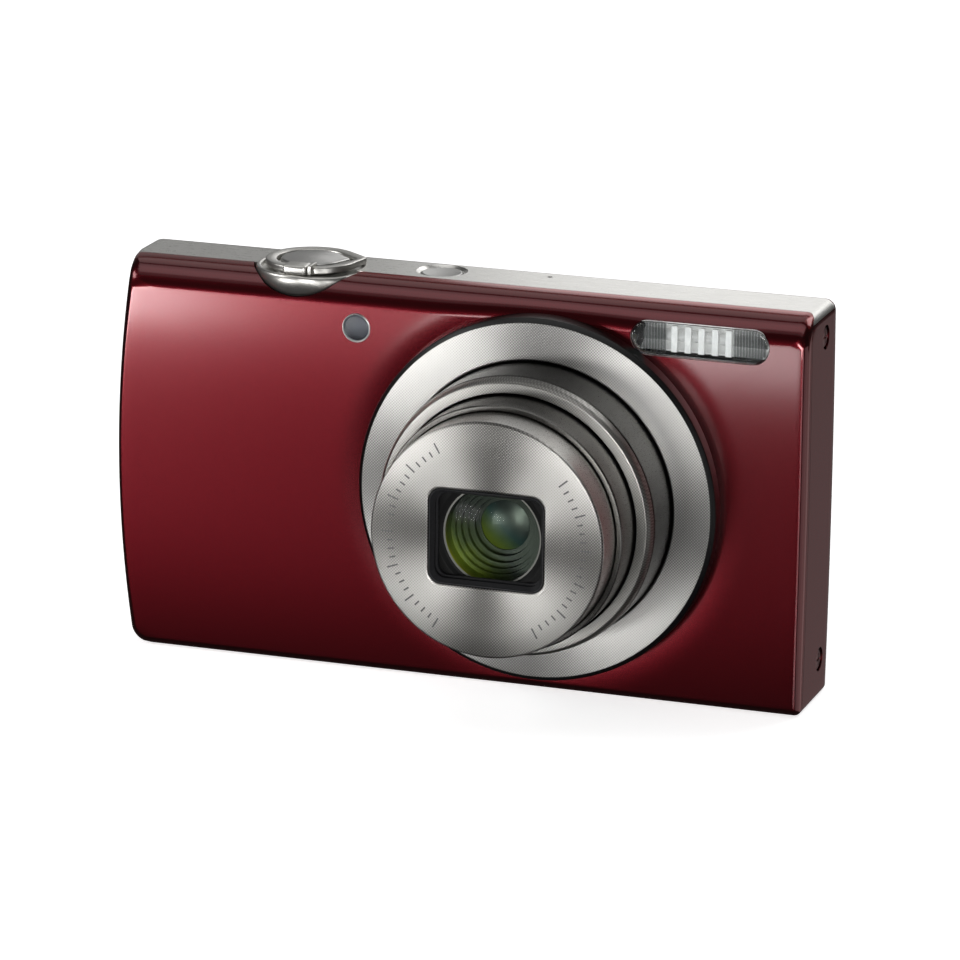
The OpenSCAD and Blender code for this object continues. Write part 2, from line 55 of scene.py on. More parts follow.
TOP = 53.2  # casing, base to top
HALF_W = 47.8  # half the casing's width
MID_Z = TOP / 2
LENS = LENS_X, LENS_Z = 12.0, 26.5  # lens axis
MIDDLE = (0.0, 9.0, 26.5)  # a point well inside the casing


def to_row(p):
    return (p[0] * MM, (p[1] + FRONT) * MM, p[2] * MM)


# ---- meshes
def link(name, data):
    obj = bpy.data.objects.new(name, data)
    bpy.context.scene.collection.objects.link(obj)
    return obj


def solid(name, verts, faces, smooth=40):
    """A mesh object from (x, depth, z) points in millimetres, welded, facing outwards."""
    mesh = bpy.data.meshes.new(name)
    mesh.from_pydata([to_row(v) for v in verts], [], faces)
    bm = bmesh.new()
    bm.from_mesh(mesh)
    bmesh.ops.remove_doubles(bm, verts=bm.verts, dist=2e-7)
    bmesh.ops.recalc_face_normals(bm, faces=bm.faces)
    bm.to_mesh(mesh)
    bm.free()
    obj = link(name, mesh)
    shade(obj, smooth)
    return obj


def shade(obj, angle=40):
    obj.data.shade_smooth()
    obj.data.set_sharp_from_angle(angle=radians(angle))


def grid_faces(rows, cols, wrap_cols=False, wrap_rows=False):
    """Quads of a grid of points stored row by row."""
    out = []
    for i in range(rows if wrap_rows else rows - 1):
        for j in range(cols if wrap_cols else cols - 1):
            a, b = i * cols + j, i * cols + (j + 1) % cols
            c, d = ((i + 1) % rows) * cols + (j + 1) % cols, ((i + 1) % rows) * cols + j
            out.append((a, b, c, d))
    return out


def softened(profile, steps=5):
    """Rounds the corners of a profile of (u, v, cut) points; cut is how far back the round starts."""
    out = []
    n = len(profile)
    for i, (u, v, cut) in enumerate(profile):
        p = Vector((u, v))
        a, b = Vector(profile[i - 1][:2]) - p, Vector(profile[(i + 1) % n][:2]) - p
        if cut == 0 or a.length == 0 or b.length == 0:
            out.append((u, v))
            continue
        start = p + a.normalized() * min(cut, a.length * 0.48)
        end = p + b.normalized() * min(cut, b.length * 0.48)
        for k in range(steps + 1):
            t = k / steps
            q = start * (1 - t) ** 2 + p * 2 * t * (1 - t) + end * t ** 2
            out.append((q.x, q.y))
    return out


def lathe(name, profile, segments, at=LENS, upright=False, smooth=40):
    """Turns a closed (radius, height) profile about an axis along the depth, or about a vertical one."""
    points = softened(profile)
    verts = []
    for r, h in points:
        for k in range(segments):
            a = 2 * pi * k / segments
            u, v = at[0] + r * cos(a), at[1] + r * sin(a)
            verts.append((u, v, h) if upright else (u, h, v))
    return solid(name, verts, grid_faces(len(points), segments, True, True), smooth)


def layered(name, rings, smooth=40, closed=False):
    """Skins a stack of rings with as many points each; the end rings are filled unless closed."""
    n = len(rings[0])
    verts = [p for ring in rings for p in ring]
    faces = grid_faces(len(rings), n, True, closed)
    if not closed:
        faces += [tuple(range(n - 1, -1, -1)), tuple(range((len(rings) - 1) * n, len(rings) * n))]
    return solid(name, verts, faces, smooth)


def break_edges(obj, width, segments, angle):
    m = obj.modifiers.new("edges", "BEVEL")
    m.width, m.segments, m.limit_method, m.angle_limit = width * MM, segments, "ANGLE", radians(angle)


def even_shading(obj):
    obj.modifiers.new("normals", "WEIGHTED_NORMAL").keep_sharp = True
    return obj


def bevel(obj, width, segments=3):
    break_edges(obj, width, segments, 35)
    return even_shading(obj)


def bake(obj, smooth):
    """Makes the modifiers part of the mesh."""
    bpy.context.view_layer.update()
    mesh = bpy.data.meshes.new_from_object(obj.evaluated_get(bpy.context.evaluated_depsgraph_get()))
    obj.modifiers.clear()
    obj.data = mesh
    shade(obj, smooth)
    return obj


def cut(obj, tools, operation="DIFFERENCE", smooth=40):
    """Cuts obj with each tool, or keeps what is inside it, and removes the tools."""
    for tool in tools:
        m = obj.modifiers.new("cut", "BOOLEAN")
        m.operation, m.object, m.solver = operation, tool, "EXACT"
    bake(obj, smooth)
    for tool in tools:
        bpy.data.objects.remove(tool)
    return obj


def box(name, x, d, z, round_by=0.0, segments=3):
    verts = [(a, b, c) for a in x for b in d for c in z]
    faces = [(0, 1, 3, 2), (4, 6, 7, 5), (0, 4, 5, 1), (2, 3, 7, 6), (0, 2, 6, 4), (1, 5, 7, 3)]
    obj = solid(name, verts, faces, 30)
    return bevel(obj, round_by, segments) if round_by else obj


def join(name, objs):
    """One object from several; their modifiers are made part of the mesh first."""
    bpy.context.view_layer.update()
    graph = bpy.context.evaluated_depsgraph_get()
    bm = bmesh.new()
    for o in objs:
        mesh = bpy.data.meshes.new_from_object(o.evaluated_get(graph))
        mesh.transform(o.matrix_world)
        bm.from_mesh(mesh)
        bpy.data.meshes.remove(mesh)
        bpy.data.objects.remove(o)
    mesh = bpy.data.meshes.new(name)
    bm.to_mesh(mesh)
    bm.free()
    obj = link(name, mesh)
    shade(obj, 40)
    return obj


# ---- outlines
def ray_radius(points, centre, angles):
    """Distance from centre to a closed outline around it, in each direction."""
    p = np.array(points, float) - np.array(centre)
    a = np.unwrap(np.arctan2(p[:, 1], p[:, 0]))
    if a[-1] < a[0]:
        p, a = p[::-1], a[::-1]
    start = a[0]
    p = np.vstack([p, p[:1]])
    a = np.append(a, start + 2 * pi)
    want = start + (np.array(angles) - start) % (2 * pi)
    k = np.clip(np.searchsorted(a, want, side="right") - 1, 0, len(p) - 2)
    u = np.stack([np.cos(want), np.sin(want)], 1)
    q, e = p[k], p[k + 1] - p[k]
    den = u[:, 0] * e[:, 1] - u[:, 1] * e[:, 0]
    den = np.where(abs(den) < 1e-9, 1e-9, den)
    return (q[:, 0] * e[:, 1] - q[:, 1] * e[:, 0]) / den


def hull(points):
    """Convex outline of some points, counter-clockwise."""
    pts = sorted(set((round(x, 6), round(y, 6)) for x, y in points))

    def turn(a, b, c):
        return (b[0] - a[0]) * (c[1] - a[1]) - (b[1] - a[1]) * (c[0] - a[0])

    def half(seq):
        out = []
        for p in seq:
            while len(out) > 1 and turn(out[-2], out[-1], p) <= 0:
                out.pop()
            out.append(p)
        return out[:-1]

    return half(pts) + half(pts[::-1])


def circle(x, y, r, n=96):
    turns = [2 * pi * k / n for k in range(n)]
    return [(x + r * cos(a), y + r * sin(a)) for a in turns]


def rounded_rect(w, h, r, at=(0, 0), steps=10):
    out = []
    for sx, sy, a0 in ((1, 1, 0), (-1, 1, 90), (-1, -1, 180), (1, -1, 270)):
        x, y = at[0] + sx * (w / 2 - r), at[1] + sy * (h / 2 - r)
        for k in range(steps + 1):
            a = radians(a0 + 90 * k / steps)
            out.append((x + r * cos(a), y + r * sin(a)))
    return out


def stadium(w, h, at):
    return hull([p for s in (-1, 1) for p in circle(at[0] + s * (w - h) / 2, at[1], h / 2, 48)])


# ---- casing surface
# Edges of the casing: how deep each rounding runs, and how far it draws the outline in.
REAR_ROUND = (5.0, 5.0)
REAR_LOW_ROUND = (3.4, 3.4)
TOP_ROUND = (5.4, 3.4)
GRIP_ROUND = (1.4, 0.9)
FAR_ROUND = (2.0, 0.9)
LOW_ROUND = (1.8, 1.2)
GRIP_BOW, FAR_BOW = 2.2, 0.2  # how far each end bows in at its top and bottom
BOW_FADE = 8.0  # depth where the grip's bow has faded out
TOP_R_GRIP, TOP_R_FAR, LOW_R_FAR, LOW_R_GRIP = 1.2, 1.7, 0.8, 2.6


def round_in(d, a, b):
    """Inset of the outline at distance d from a face, for a rounding of depth a and inset b."""
    return 0.0 if d >= a else b * (1 - sqrt(max(0, 1 - ((a - d) / a) ** 2)))


def casing_outline(d):
    """Outline of the casing at a depth: grip end bowed, four corner radii, edges rounded front and back."""
    rear = round_in(THICK - d, *REAR_ROUND)
    left = round_in(d, *GRIP_ROUND) + rear
    right = round_in(d, *FAR_ROUND) + rear
    low = round_in(d, *LOW_ROUND) + round_in(THICK - d, *REAR_LOW_ROUND)
    high = round_in(d, *TOP_ROUND) + rear
    loss = min(left, high)
    grip = GRIP_BOW * max(0.08, 1 - d / BOW_FADE)
    xl, xr, zb, zt = -HALF_W + left, HALF_W - right, low, TOP - high

    def bow(z, sag):
        return sag * ((z - MID_Z) / MID_Z) ** 2

    def corner(sx, sz, x_end, z_end, sag, r, steps=14):
        r = max(0.4, r - loss)
        zc = z_end - sz * r
        s = abs(atan(2 * sag * (zc - MID_Z) / MID_Z ** 2))
        xc = x_end - sx * (bow(zc + sz * r * sin(s), sag) + r * cos(s))
        arc = [s + (pi / 2 - s) * k / steps for k in range(steps + 1)]
        return [(xc + sx * r * cos(a), zc + sz * r * sin(a)) for a in arc]

    def run(sx, x_end, sag, z0, z1, steps=34):
        zs = [z0 + (z1 - z0) * k / steps for k in range(1, steps)]
        return [(x_end - sx * bow(z, sag), z) for z in zs]

    def line(p, q, steps=60):
        return [(p[0] + (q[0] - p[0]) * k / steps, p[1] + (q[1] - p[1]) * k / steps) for k in range(1, steps)]

    tl, tr = corner(-1, 1, xl, zt, grip, TOP_R_GRIP), corner(1, 1, xr, zt, FAR_BOW, TOP_R_FAR)
    br, bl = corner(1, -1, xr, zb, FAR_BOW, LOW_R_FAR), corner(-1, -1, xl, zb, grip, LOW_R_GRIP)
    return (bl + line(bl[-1], br[-1]) + br[::-1] + run(1, xr, FAR_BOW, br[0][1], tr[0][1]) + tr
            + line(tr[-1], tl[-1]) + tl[::-1] + run(-1, xl, grip, tl[0][1], bl[0][1]))


class Casing:
    """The casing as columns round the lens axis: how far out its surface is, at any depth."""

    def __init__(self):
        full = np.array(casing_outline(THICK / 2))
        self.angles = np.sort(np.arctan2(full[:, 1] - LENS_Z, full[:, 0] - LENS_X))
        arc = 1 - np.cos(np.linspace(0, pi / 2, 40))
        front = [r[0] * arc for r in (TOP_ROUND, FAR_ROUND, GRIP_ROUND, LOW_ROUND)]
        rear = [THICK - r[0] * arc for r in (REAR_ROUND, REAR_LOW_ROUND)]
        self.depths = np.unique(np.concatenate(front + [[BOW_FADE]] + rear).round(7))
        self.table = np.array([ray_radius(casing_outline(d), LENS, self.angles) for d in self.depths])
        self.cos, self.sin = np.cos(self.angles), np.sin(self.angles)
        reach = self.radii(np.full(len(self.angles), THICK / 2))
        self.z = LENS_Z + reach * self.sin

    def radii(self, d):
        return np.array([np.interp(d[j], self.depths, self.table[:, j]) for j in range(len(self.angles))])

    def row(self, d, radii=None, cols=None):
        """One row of points at depth d (per column), at the given radii where there are some."""
        r = self.radii(d) if radii is None else radii
        z = LENS_Z + r * self.sin
        pts = [(LENS_X + r[j] * self.cos[j], d[j] - relief(r[j], z[j], d[j]), z[j]) for j in range(len(r))]
        return pts if cols is None else [pts[j] for j in cols]


DISH_R, DISH_D = 28.4, 0.25  # shallow dip round the lens ring
DISH_FLOOR_R = 24.0
CROWN_H = 0.45
RELIEF_END = 2.4  # depth where the front's relief has faded out


def crown(z):
    """How far the front face falls back towards its top and bottom edges."""
    return CROWN_H * abs((z - MID_Z) / MID_Z) ** 4


def relief(r, z, d):
    """The front cover falls away to its edges and dips a little towards the lens ring."""
    t = min(1.0, max(0.0, (DISH_R - r) / (DISH_R - DISH_FLOOR_R)))
    return -(DISH_D * t * t + crown(z)) * max(0, 1 - d / RELIEF_END)


casing = Casing()
COLS = len(casing.angles)
GAP = 0.05  # half the joint between two covers
TOP_EDGE = 52.0  # lowest point of the top cover
TOP_BACK = 13.8  # its back edge
WALL = 1.0  # thickness of the covers
COVER_HOLE = 20.6  # hole in the front cover, under the lens ring


def seam(z):
    """Depth of the front cover's edge: shallow at the ends, deep along the top."""
    return float(np.interp(z, [50.6, 52.2, 53.1], [2.4, 3.4, 5.6]))


seams = np.array([seam(z) for z in casing.z])
top_cols = [j for j in range(COLS) if casing.z[j] >= TOP_EDGE]
low_cols = list(range(top_cols[-1], COLS)) + list(range(0, top_cols[0] + 1))


def thicken(obj, thickness, inside):
    """Turns an open surface into a wall: faced away from a point inside it and thickened towards it."""
    middle = Vector(to_row(inside))
    if sum((f.center - middle).dot(f.normal) * f.area for f in obj.data.polygons) < 0:
        obj.data.flip_normals()
    m = obj.modifiers.new("wall", "SOLIDIFY")
    m.thickness, m.offset = thickness * MM, -1
    return bake(obj, 60)


def sheet_solid(name, rows, thickness, wrap, inside=MIDDLE):
    """A wall from rows of surface points."""
    points = [p for r in rows for p in r]
    return thicken(solid(name, points, grid_faces(len(rows), len(rows[0]), wrap), 60), thickness, inside)


def soften_rim(obj, width=0.09, final=True):
    """Breaks the sharp rims only, and in a final shape evens out the shading round cut-outs."""
    break_edges(obj, width, 2, 60)
    bake(obj, 20)
    return even_shading(obj) if final else obj


def front_shell():
    """From the hole under the lens ring out to the edge, then round it to the seam."""
    flat = casing.radii(np.zeros(COLS))
    rows = [casing.row(np.zeros(COLS), COVER_HOLE + (flat - COVER_HOLE) * (k / 51) ** 1.7) for k in range(52)]
    rows += [casing.row((seams - GAP) * (1 - cos(pi / 2 * k / 16))) for k in range(1, 17)]
    return sheet_solid("front_cover_skin", rows, WALL, True)


def top_shell():
    start, end = seams + GAP, np.full(COLS, TOP_BACK - GAP)
    rows = [casing.row(start + (end - start) * k / 24, cols=top_cols) for k in range(25)]
    return sheet_solid("top_cover_skin", rows, WALL, False)


def rear_shell():
    """Round the back edge and over the back, with the ends and the base as a second sheet."""
    reach = REAR_ROUND[0]
    turn0 = asin((TOP_BACK - (THICK - reach)) / reach)
    rows = []
    for k in range(19):
        a = turn0 + (pi / 2 - turn0) * k / 18
        rows.append(casing.row(np.full(COLS, THICK - reach + reach * sin(a))))
    edge = casing.radii(np.full(COLS, THICK))
    rows += [casing.row(np.full(COLS, THICK), edge * (1 - k / 24)) for k in range(1, 24)]
    rows.append([(LENS_X, THICK, LENS_Z)] * COLS)
    start = seams + GAP
    sides = [casing.row(start + (TOP_BACK - start) * k / 24, cols=low_cols) for k in range(25)]
    base = len(rows) * COLS
    faces = grid_faces(len(rows), COLS, True)
    faces += [tuple(base + i for i in f) for f in grid_faces(len(sides), len(low_cols))]
    points = [p for r in rows + sides for p in r]
    return thicken(solid("rear_cover_skin", points, faces, 60), WALL, MIDDLE)


# ---- materials
class Look:
    """A Principled material with a small node helper."""

    def __init__(self, name, color, rough, metal=0.0, **sockets):
        self.mat = bpy.data.materials.new(name)
        self.mat.use_nodes = True
        self.tree = self.mat.node_tree
        self.shader = self.tree.nodes["Principled BSDF"]
        self.set("Base Color", (*color, 1.0))
        self.set("Roughness", rough)
        self.set("Metallic", metal)
        for key, value in sockets.items():
            self.set(key.replace("_", " "), value)
        self.coords = self.tree.nodes.new("ShaderNodeTexCoord").outputs["Object"]

    def set(self, socket, value):
        self.shader.inputs[socket].default_value = value

    def node(self, kind, inputs=None, **settings):
        n = self.tree.nodes.new("ShaderNode" + kind)
        for key, value in settings.items():
            setattr(n, key, value)
        for key, value in (inputs or {}).items():
            if isinstance(value, bpy.types.NodeSocket):
                self.tree.links.new(value, n.inputs[key])
            else:
                n.inputs[key].default_value = value
        return n

    def math(self, op, a, b=0.0, c=0.0):
        return self.node("Math", {0: a, 1: b, 2: c}, operation=op).outputs[0]

    def noise(self, scale, detail=3.0, stretch=(1, 1, 1)):
        moved = self.node("Mapping", {"Vector": self.coords, "Scale": stretch}).outputs[0]
        settings = {"Vector": moved, "Scale": scale, "Detail": detail}
        return self.node("TexNoise", settings).outputs["Fac"]

    def spread(self, fac, low, high):
        """Maps a 0.3 to 0.7 noise value onto low to high."""
        return self.node("MapRange", {"Value": fac, "From Min": 0.3, "From Max": 0.7,
                                      "To Min": low, "To Max": high}).outputs[0]

    def feed(self, socket, value):
        self.tree.links.new(value, self.shader.inputs[socket])
        return self

    def vary_rough(self, scale, low, high, stretch=(1, 1, 1)):
        return self.feed("Roughness", self.spread(self.noise(scale, 3.0, stretch), low, high))

    def blend(self, fac, low, high):
        """Base colour between two, where the first may be another node's."""
        low = low if isinstance(low, bpy.types.NodeSocket) else (*low, 1)
        mix = self.node("Mix", data_type="RGBA", inputs={"Factor": fac, "A": low, "B": (*high, 1)})
        return self.feed("Base Color", mix.outputs["Result"])

    def vary_color(self, scale, low, high, stretch=(1, 1, 1)):
        return self.blend(self.spread(self.noise(scale, 4.0, stretch), 0.0, 1.0), low, high)

    def ramp(self, fac, *stops):
        """Colour ramp with (position, colour) stops in rising order."""
        n = self.node("ValToRGB", {"Fac": fac})
        points = n.color_ramp.elements
        for i, (position, color) in enumerate((stops[0], stops[-1])):
            points[i].position, points[i].color = position, (*color, 1)
        for position, color in stops[1:-1]:
            points.new(position).color = (*color, 1)
        return n.outputs[0]

    def bump(self, height, strength, distance):
        last = self.shader.inputs["Normal"]
        under = last.links[0].from_socket if last.links else None
        n = self.node("Bump", {"Height": height, "Strength": strength, "Distance": distance * MM})
        if under:
            self.tree.links.new(under, n.inputs["Normal"])
        self.tree.links.new(n.outputs[0], last)
        return self

    def fine_bump(self, scale, strength, distance=0.02, stretch=(1, 1, 1)):
        return self.bump(self.noise(scale, 2.0, stretch), strength, distance)


def weave_wave(look, pitch):
    """Fine diamond pattern on faces square to the lens axis, from -1 to 1."""
    xyz = look.node("SeparateXYZ", {0: look.coords}).outputs
    a, b = (look.math("SINE", look.math("MULTIPLY", xyz[i], 2 * pi / (pitch * MM))) for i in (0, 2))
    return look.math("MULTIPLY", a, b)


def about_lens(look, scale=1.0):
    """Offsets from the lens axis, in units of scale millimetres."""
    xyz = look.node("SeparateXYZ", {0: look.coords}).outputs
    return (look.math("MULTIPLY_ADD", xyz[0], 1 / (scale * MM), -LENS_X / scale),
            look.math("MULTIPLY_ADD", xyz[2], 1 / (scale * MM), -LENS_Z / scale))


def red_paint():
    """Deep metallic paint under lacquer; the grain is fine, so the highlights stay smooth."""
    m = Look("red_paint", (0.09, 0.0005, 0.004), 0.27, 1.0, Coat_Weight=1.0, Coat_Roughness=0.13)
    m.set("Specular Tint", (1.0, 0.4, 0.4, 1.0))
    m.vary_rough(1500, 0.2695, 0.2715)
    m.vary_color(4000, (0.089, 0.0005, 0.0039), (0.092, 0.0006, 0.0042))
    return m.fine_bump(300, 0.02, 0.01).mat


def satin(name, color, rough=0.3, metal=1.0, grain=7000, stretch=(1, 1, 1), uneven=1.0, **kw):
    m = Look(name, color, rough, metal, **kw)
    m.vary_rough(grain, rough * (1 - 0.12 * uneven), rough * (1 + 0.12 * uneven), stretch)
    m.vary_color(grain * 0.6, [c * 0.94 for c in color], [min(1, c * 1.05) for c in color], stretch)
    return m.fine_bump(grain * 1.6, 0.06 * uneven, 0.004, stretch).mat


def plastic(name, color, rough=0.45, grain=6000, strength=0.10, **kw):
    m = Look(name, color, rough, 0.0, **kw)
    m.vary_rough(grain * 0.4, rough * 0.85, rough * 1.15)
    m.vary_color(grain * 0.2, [c * 0.92 for c in color], [min(1, c * 1.08) for c in color])
    return m.fine_bump(grain, strength, 0.01).mat


def turned_metal_painted_sheen(name, dark, bright, rough, pitch=0.40):
    """Finely knurled face under a diamond texture, with four lighter sectors of painted reflection that are a
    touch lighter towards the top as painted light.
    """
    m = Look(name, bright, rough, 1.0)
    u, v = about_lens(m, 10)
    angle = m.math("ARCTAN2", v, u)
    # painted reflection: four lighter sectors round the lens axis, a touch lighter towards the top as painted
    # light
    wave = m.math("SINE", m.math("MULTIPLY_ADD", angle, 2.0, 0.14))
    painted_sheen = m.math("MULTIPLY", m.math("POWER", m.math("MULTIPLY", wave, wave), 0.9),
                    m.math("MULTIPLY_ADD", v, 0.04, 1.0))
    fine = m.math("MULTIPLY", weave_wave(m, pitch), 0.34)
    streak = m.math("MULTIPLY_ADD", m.noise(250, 3.0), 0.16, -0.08)
    m.blend(m.math("ADD", m.math("ADD", painted_sheen, fine), streak), dark, bright)
    m.vary_rough(6000, rough * 0.9, rough * 1.1)
    return m.bump(weave_wave(m, pitch), 0.3, 0.03).mat


def thin_clear(name, tint, rough=0.03, gloss=1.0):
    """Clear surface that light passes straight through, with a Fresnel shine."""
    m = Look(name, tint, rough)
    shine = m.node("BsdfGlossy", {"Roughness": m.spread(m.noise(400), rough, rough * 1.8)})
    through = m.node("BsdfTransparent", {"Color": (*tint, 1)})
    edge = m.node("Fresnel", {"IOR": 1.5})
    fac = m.math("MULTIPLY", edge.outputs[0], gloss)
    mix = m.node("MixShader", {0: fac, 1: through.outputs[0], 2: shine.outputs[0]})
    m.tree.links.new(mix.outputs[0], m.tree.nodes["Material Output"].inputs["Surface"])
    m.tree.nodes.remove(m.shader)
    return m.mat


def baffles():
    """Black steps with a painted yellow-green reflection low on the left, and a painted highlight as a thin
    light ring at the rim.
    """
    m = Look("lens_baffles", (0.006, 0.006, 0.006), 0.4, 0.0)
    u, v = about_lens(m, 6.3)
    # painted reflection: yellow-green low on the left, inside the glass's radius
    low_left = m.math("MULTIPLY_ADD", m.math("ADD", u, v), -0.62, -0.32)
    radius = m.math("SQRT", m.math("ADD", m.math("MULTIPLY", u, u), m.math("MULTIPLY", v, v)))
    inside = m.math("LESS_THAN", radius, 1.01)
    painted_reflection = m.math("MULTIPLY", m.math("MULTIPLY", low_left, inside), m.spread(m.noise(500), 0.85, 1.1))
    color = m.ramp(painted_reflection, (0.0, (0.006, 0.006, 0.006)), (0.3, (0.03, 0.04, 0.004)),
                   (0.62, (0.17, 0.195, 0.006)))
    # painted highlight: a thin light ring just outside the glass's radius
    lip = m.math("MULTIPLY", m.math("GREATER_THAN", radius, 1.01), m.math("LESS_THAN", radius, 1.045))
    m.blend(lip, color, (0.13, 0.13, 0.12))
    m.feed("Specular IOR Level", m.math("MULTIPLY_ADD", inside, 0.35, 0.05))
    m.vary_rough(600, 0.36, 0.44)
    return m.mat


def coated_lens_painted_reflection():
    """Inner lens whose colour is a painted reflection: blue-green, turning yellow-green low on the left."""
    m = Look("lens_coating", (0.02, 0.03, 0.01), 0.35, 0.0, Coat_Weight=0.1, Coat_Roughness=0.2)
    u, v = about_lens(m, 3.3)
    # painted reflection: the base colour runs from dark blue-green to yellow-green low on the left
    fac = m.math("MULTIPLY_ADD", m.math("ADD", u, v), -0.5, 0.4)
    m.feed("Base Color", m.ramp(fac, (0.1, (0.006, 0.008, 0.010)), (0.45, (0.012, 0.028, 0.032)),
                                (1.0, (0.07, 0.085, 0.008))))
    m.vary_rough(700, 0.32, 0.38)
    return m.mat


M = {
    "red": red_paint(),
    "top": satin("top_silver", (0.70, 0.69, 0.66), 0.30, stretch=(0.1, 1, 1)),
    "control": satin("control_silver", (0.56, 0.55, 0.52), 0.33),
    "button": satin("button_silver", (0.48, 0.475, 0.46), 0.33),
    "ring": turned_metal_painted_sheen("ring_turned", (0.12, 0.118, 0.114), (0.55, 0.54, 0.52), 0.42),
    "disc": turned_metal_painted_sheen("disc_turned", (0.078, 0.076, 0.072), (0.41, 0.40, 0.38), 0.40),
    # painted shade: the trim ring's side wall is a near-black copy of the ring metal
    "ring_wall": satin("ring_wall_dark", (0.035, 0.035, 0.035), 0.35, uneven=0.3),
    # painted shade: the outer barrel's tube is a near-black copy of its rim's metal
    "barrel_outer": satin("barrel_outer_grey", (0.04, 0.039, 0.036), 0.28, uneven=0.3),
    "barrel_rim": turned_metal_painted_sheen("barrel_rim_turned", (0.13, 0.128, 0.12), (0.40, 0.39, 0.37), 0.36),
    "barrel_middle": satin("barrel_middle_grey", (0.12, 0.117, 0.11), 0.28, uneven=0.3),
    "barrel_front": satin("barrel_front_metal", (0.42, 0.41, 0.39), 0.28, uneven=0.3),
    "dark": plastic("black_plastic", (0.014, 0.014, 0.015), 0.42),
    "key": plastic("key_plastic", (0.035, 0.035, 0.037), 0.36),
    "grey": plastic("grey_plastic", (0.22, 0.22, 0.23), 0.4),
    "steel": satin("steel", (0.56, 0.56, 0.55), 0.3, stretch=(0.2, 1, 1)),
    "lamp_cup": plastic("lamp_cup", (0.07, 0.07, 0.075), 0.5),
    # painted light: the flash reflector glows faintly, standing in for light bouncing inside the flash
    "reflector": satin("flash_reflector", (0.93, 0.93, 0.92), 0.35, 0.0, Emission_Color=(1, 1, 1, 1),
                       Emission_Strength=0.12),
    # painted light: the frosted bars glow faintly as well
    "bar": plastic("flash_bar", (0.9, 0.9, 0.89), 0.4, Emission_Color=(1, 1, 1, 1), Emission_Strength=0.12),
    "rib": thin_clear("flash_rib", (0.72, 0.73, 0.73), 0.1, 2.0),
    "bezel": plastic("bezel_black", (0.006, 0.006, 0.007), 0.6, Specular_IOR_Level=0.25),
    "bright": satin("bright_metal", (0.88, 0.88, 0.87), 0.34),
    "gold": satin("contact_gold", (0.83, 0.58, 0.22), 0.2),
    "board": plastic("circuit_green", (0.012, 0.11, 0.045), 0.35),
    "nylon": plastic("nylon", (0.72, 0.69, 0.58), 0.45),
    "orange": plastic("orange_plastic", (0.75, 0.20, 0.02), 0.4),
    "wrap": plastic("battery_wrap", (0.05, 0.05, 0.055), 0.4),
    "card": plastic("card_plastic", (0.015, 0.03, 0.10), 0.4),
    "white": plastic("frosted_white", (0.85, 0.85, 0.84), 0.4),
    "mark": plastic("mark_grey", (0.05, 0.05, 0.05), 0.5),
    "green": plastic("lamp_green", (0.10, 0.45, 0.14), 0.2),
    "screw": satin("screw_dark", (0.22, 0.10, 0.10), 0.3),
    "glass": thin_clear("lens_glass", (0.93, 0.98, 0.93), 0.06, 0.06),
    "flash": thin_clear("flash_clear", (0.93, 0.94, 0.94), 0.05, 1.5),
    "lamp": thin_clear("lamp_clear", (0.84, 0.86, 0.90), 0.15, 0.8),
    "screen": plastic("screen_glass", (0.006, 0.006, 0.008), 0.06, 400, 0.01, Coat_Weight=1.0,
                      Coat_Roughness=0.02),
    "screen_matte": plastic("screen_matte", (0.03, 0.03, 0.035), 0.5),
    "sensor": plastic("sensor_glass", (0.04, 0.07, 0.08), 0.1),
    "baffle": baffles(),
    "coated_lens_painted_reflection": coated_lens_painted_reflection(),
}

# Look of each material slot, where the two aren't named alike
SLOT_LOOK = {
    "casing_paint": "red", "top_paint": "top", "ring_metal": "ring", "control_metal": "control",
    "black_plastic": "dark", "grey_plastic": "grey", "button_plastic": "key", "lens_glass": "glass",
    "flash_clear": "flash", "lamp_clear": "lamp", "screen_glass": "screen", "bright_metal": "bright",
    "contact_gold": "gold", "circuit_green": "board", "orange_plastic": "orange", "battery_wrap": "wrap",
    "card_plastic": "card", "lamp_green": "green", "sensor_glass": "sensor", "screw_dark": "screw",
}


def piece(obj, look, body, slot, *stands_for):
    """Gives a finished piece its material and its body, and hides the CAD nodes it stands for; the slot is
    not used.
    """
    obj.data.materials.clear()
    obj.data.materials.append(M[look])
    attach(obj, body)
    if stands_for:
        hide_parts(*stands_for)
    return obj


def rename(obj, name):
    obj.name = name
    obj.data.name = name
    return obj


def tool_prism(outline, d0, d1):
    """Cutter along the depth from an (x, z) outline."""
    return layered("tool", [[(x, d, z) for x, z in outline] for d in (d0, d1)])


def tool_upright(outline, z0, z1):
    """Cutter along Z from an (x, depth) outline."""
    return layered("tool", [[(x, d, z) for x, d in outline] for z in (z0, z1)])


def prism(name, outline, d0, d1, edge=0.15, segments=3):
    return bevel(rename(tool_prism(outline, d0, d1), name), edge, segments)


# ---- top controls
AXIS_X, AXIS_D = -22.5, 7.4  # zoom lever and shutter button
POWER = (-5.2, 9.9)
SEAT_ANGLES = np.linspace(0, 2 * pi, 192, endpoint=False)


def drop_outline(r, tip, tip_r):
    """Round outline with a softly pointed tip, as (radius for each angle) about the lever's axis."""
    pts = hull(circle(0, 0, r, 240) + circle(tip[0], tip[1], tip_r, 48))
    return ray_radius(pts, (0, 0), SEAT_ANGLES)


def drop_ring(radii, z):
    return [(AXIS_X + r * cos(a), AXIS_D + r * sin(a), z) for r, a in zip(radii, SEAT_ANGLES)]


seat_out = drop_outline(7.6, (6.6, 1.0), 0.9)
lever_out = drop_outline(6.25, (6.0, 2.3), 0.75)
lever_in = drop_outline(4.75, (5.0, 1.3), 0.6)
button_out = drop_outline(4.2, (4.3, 1.0), 0.55)


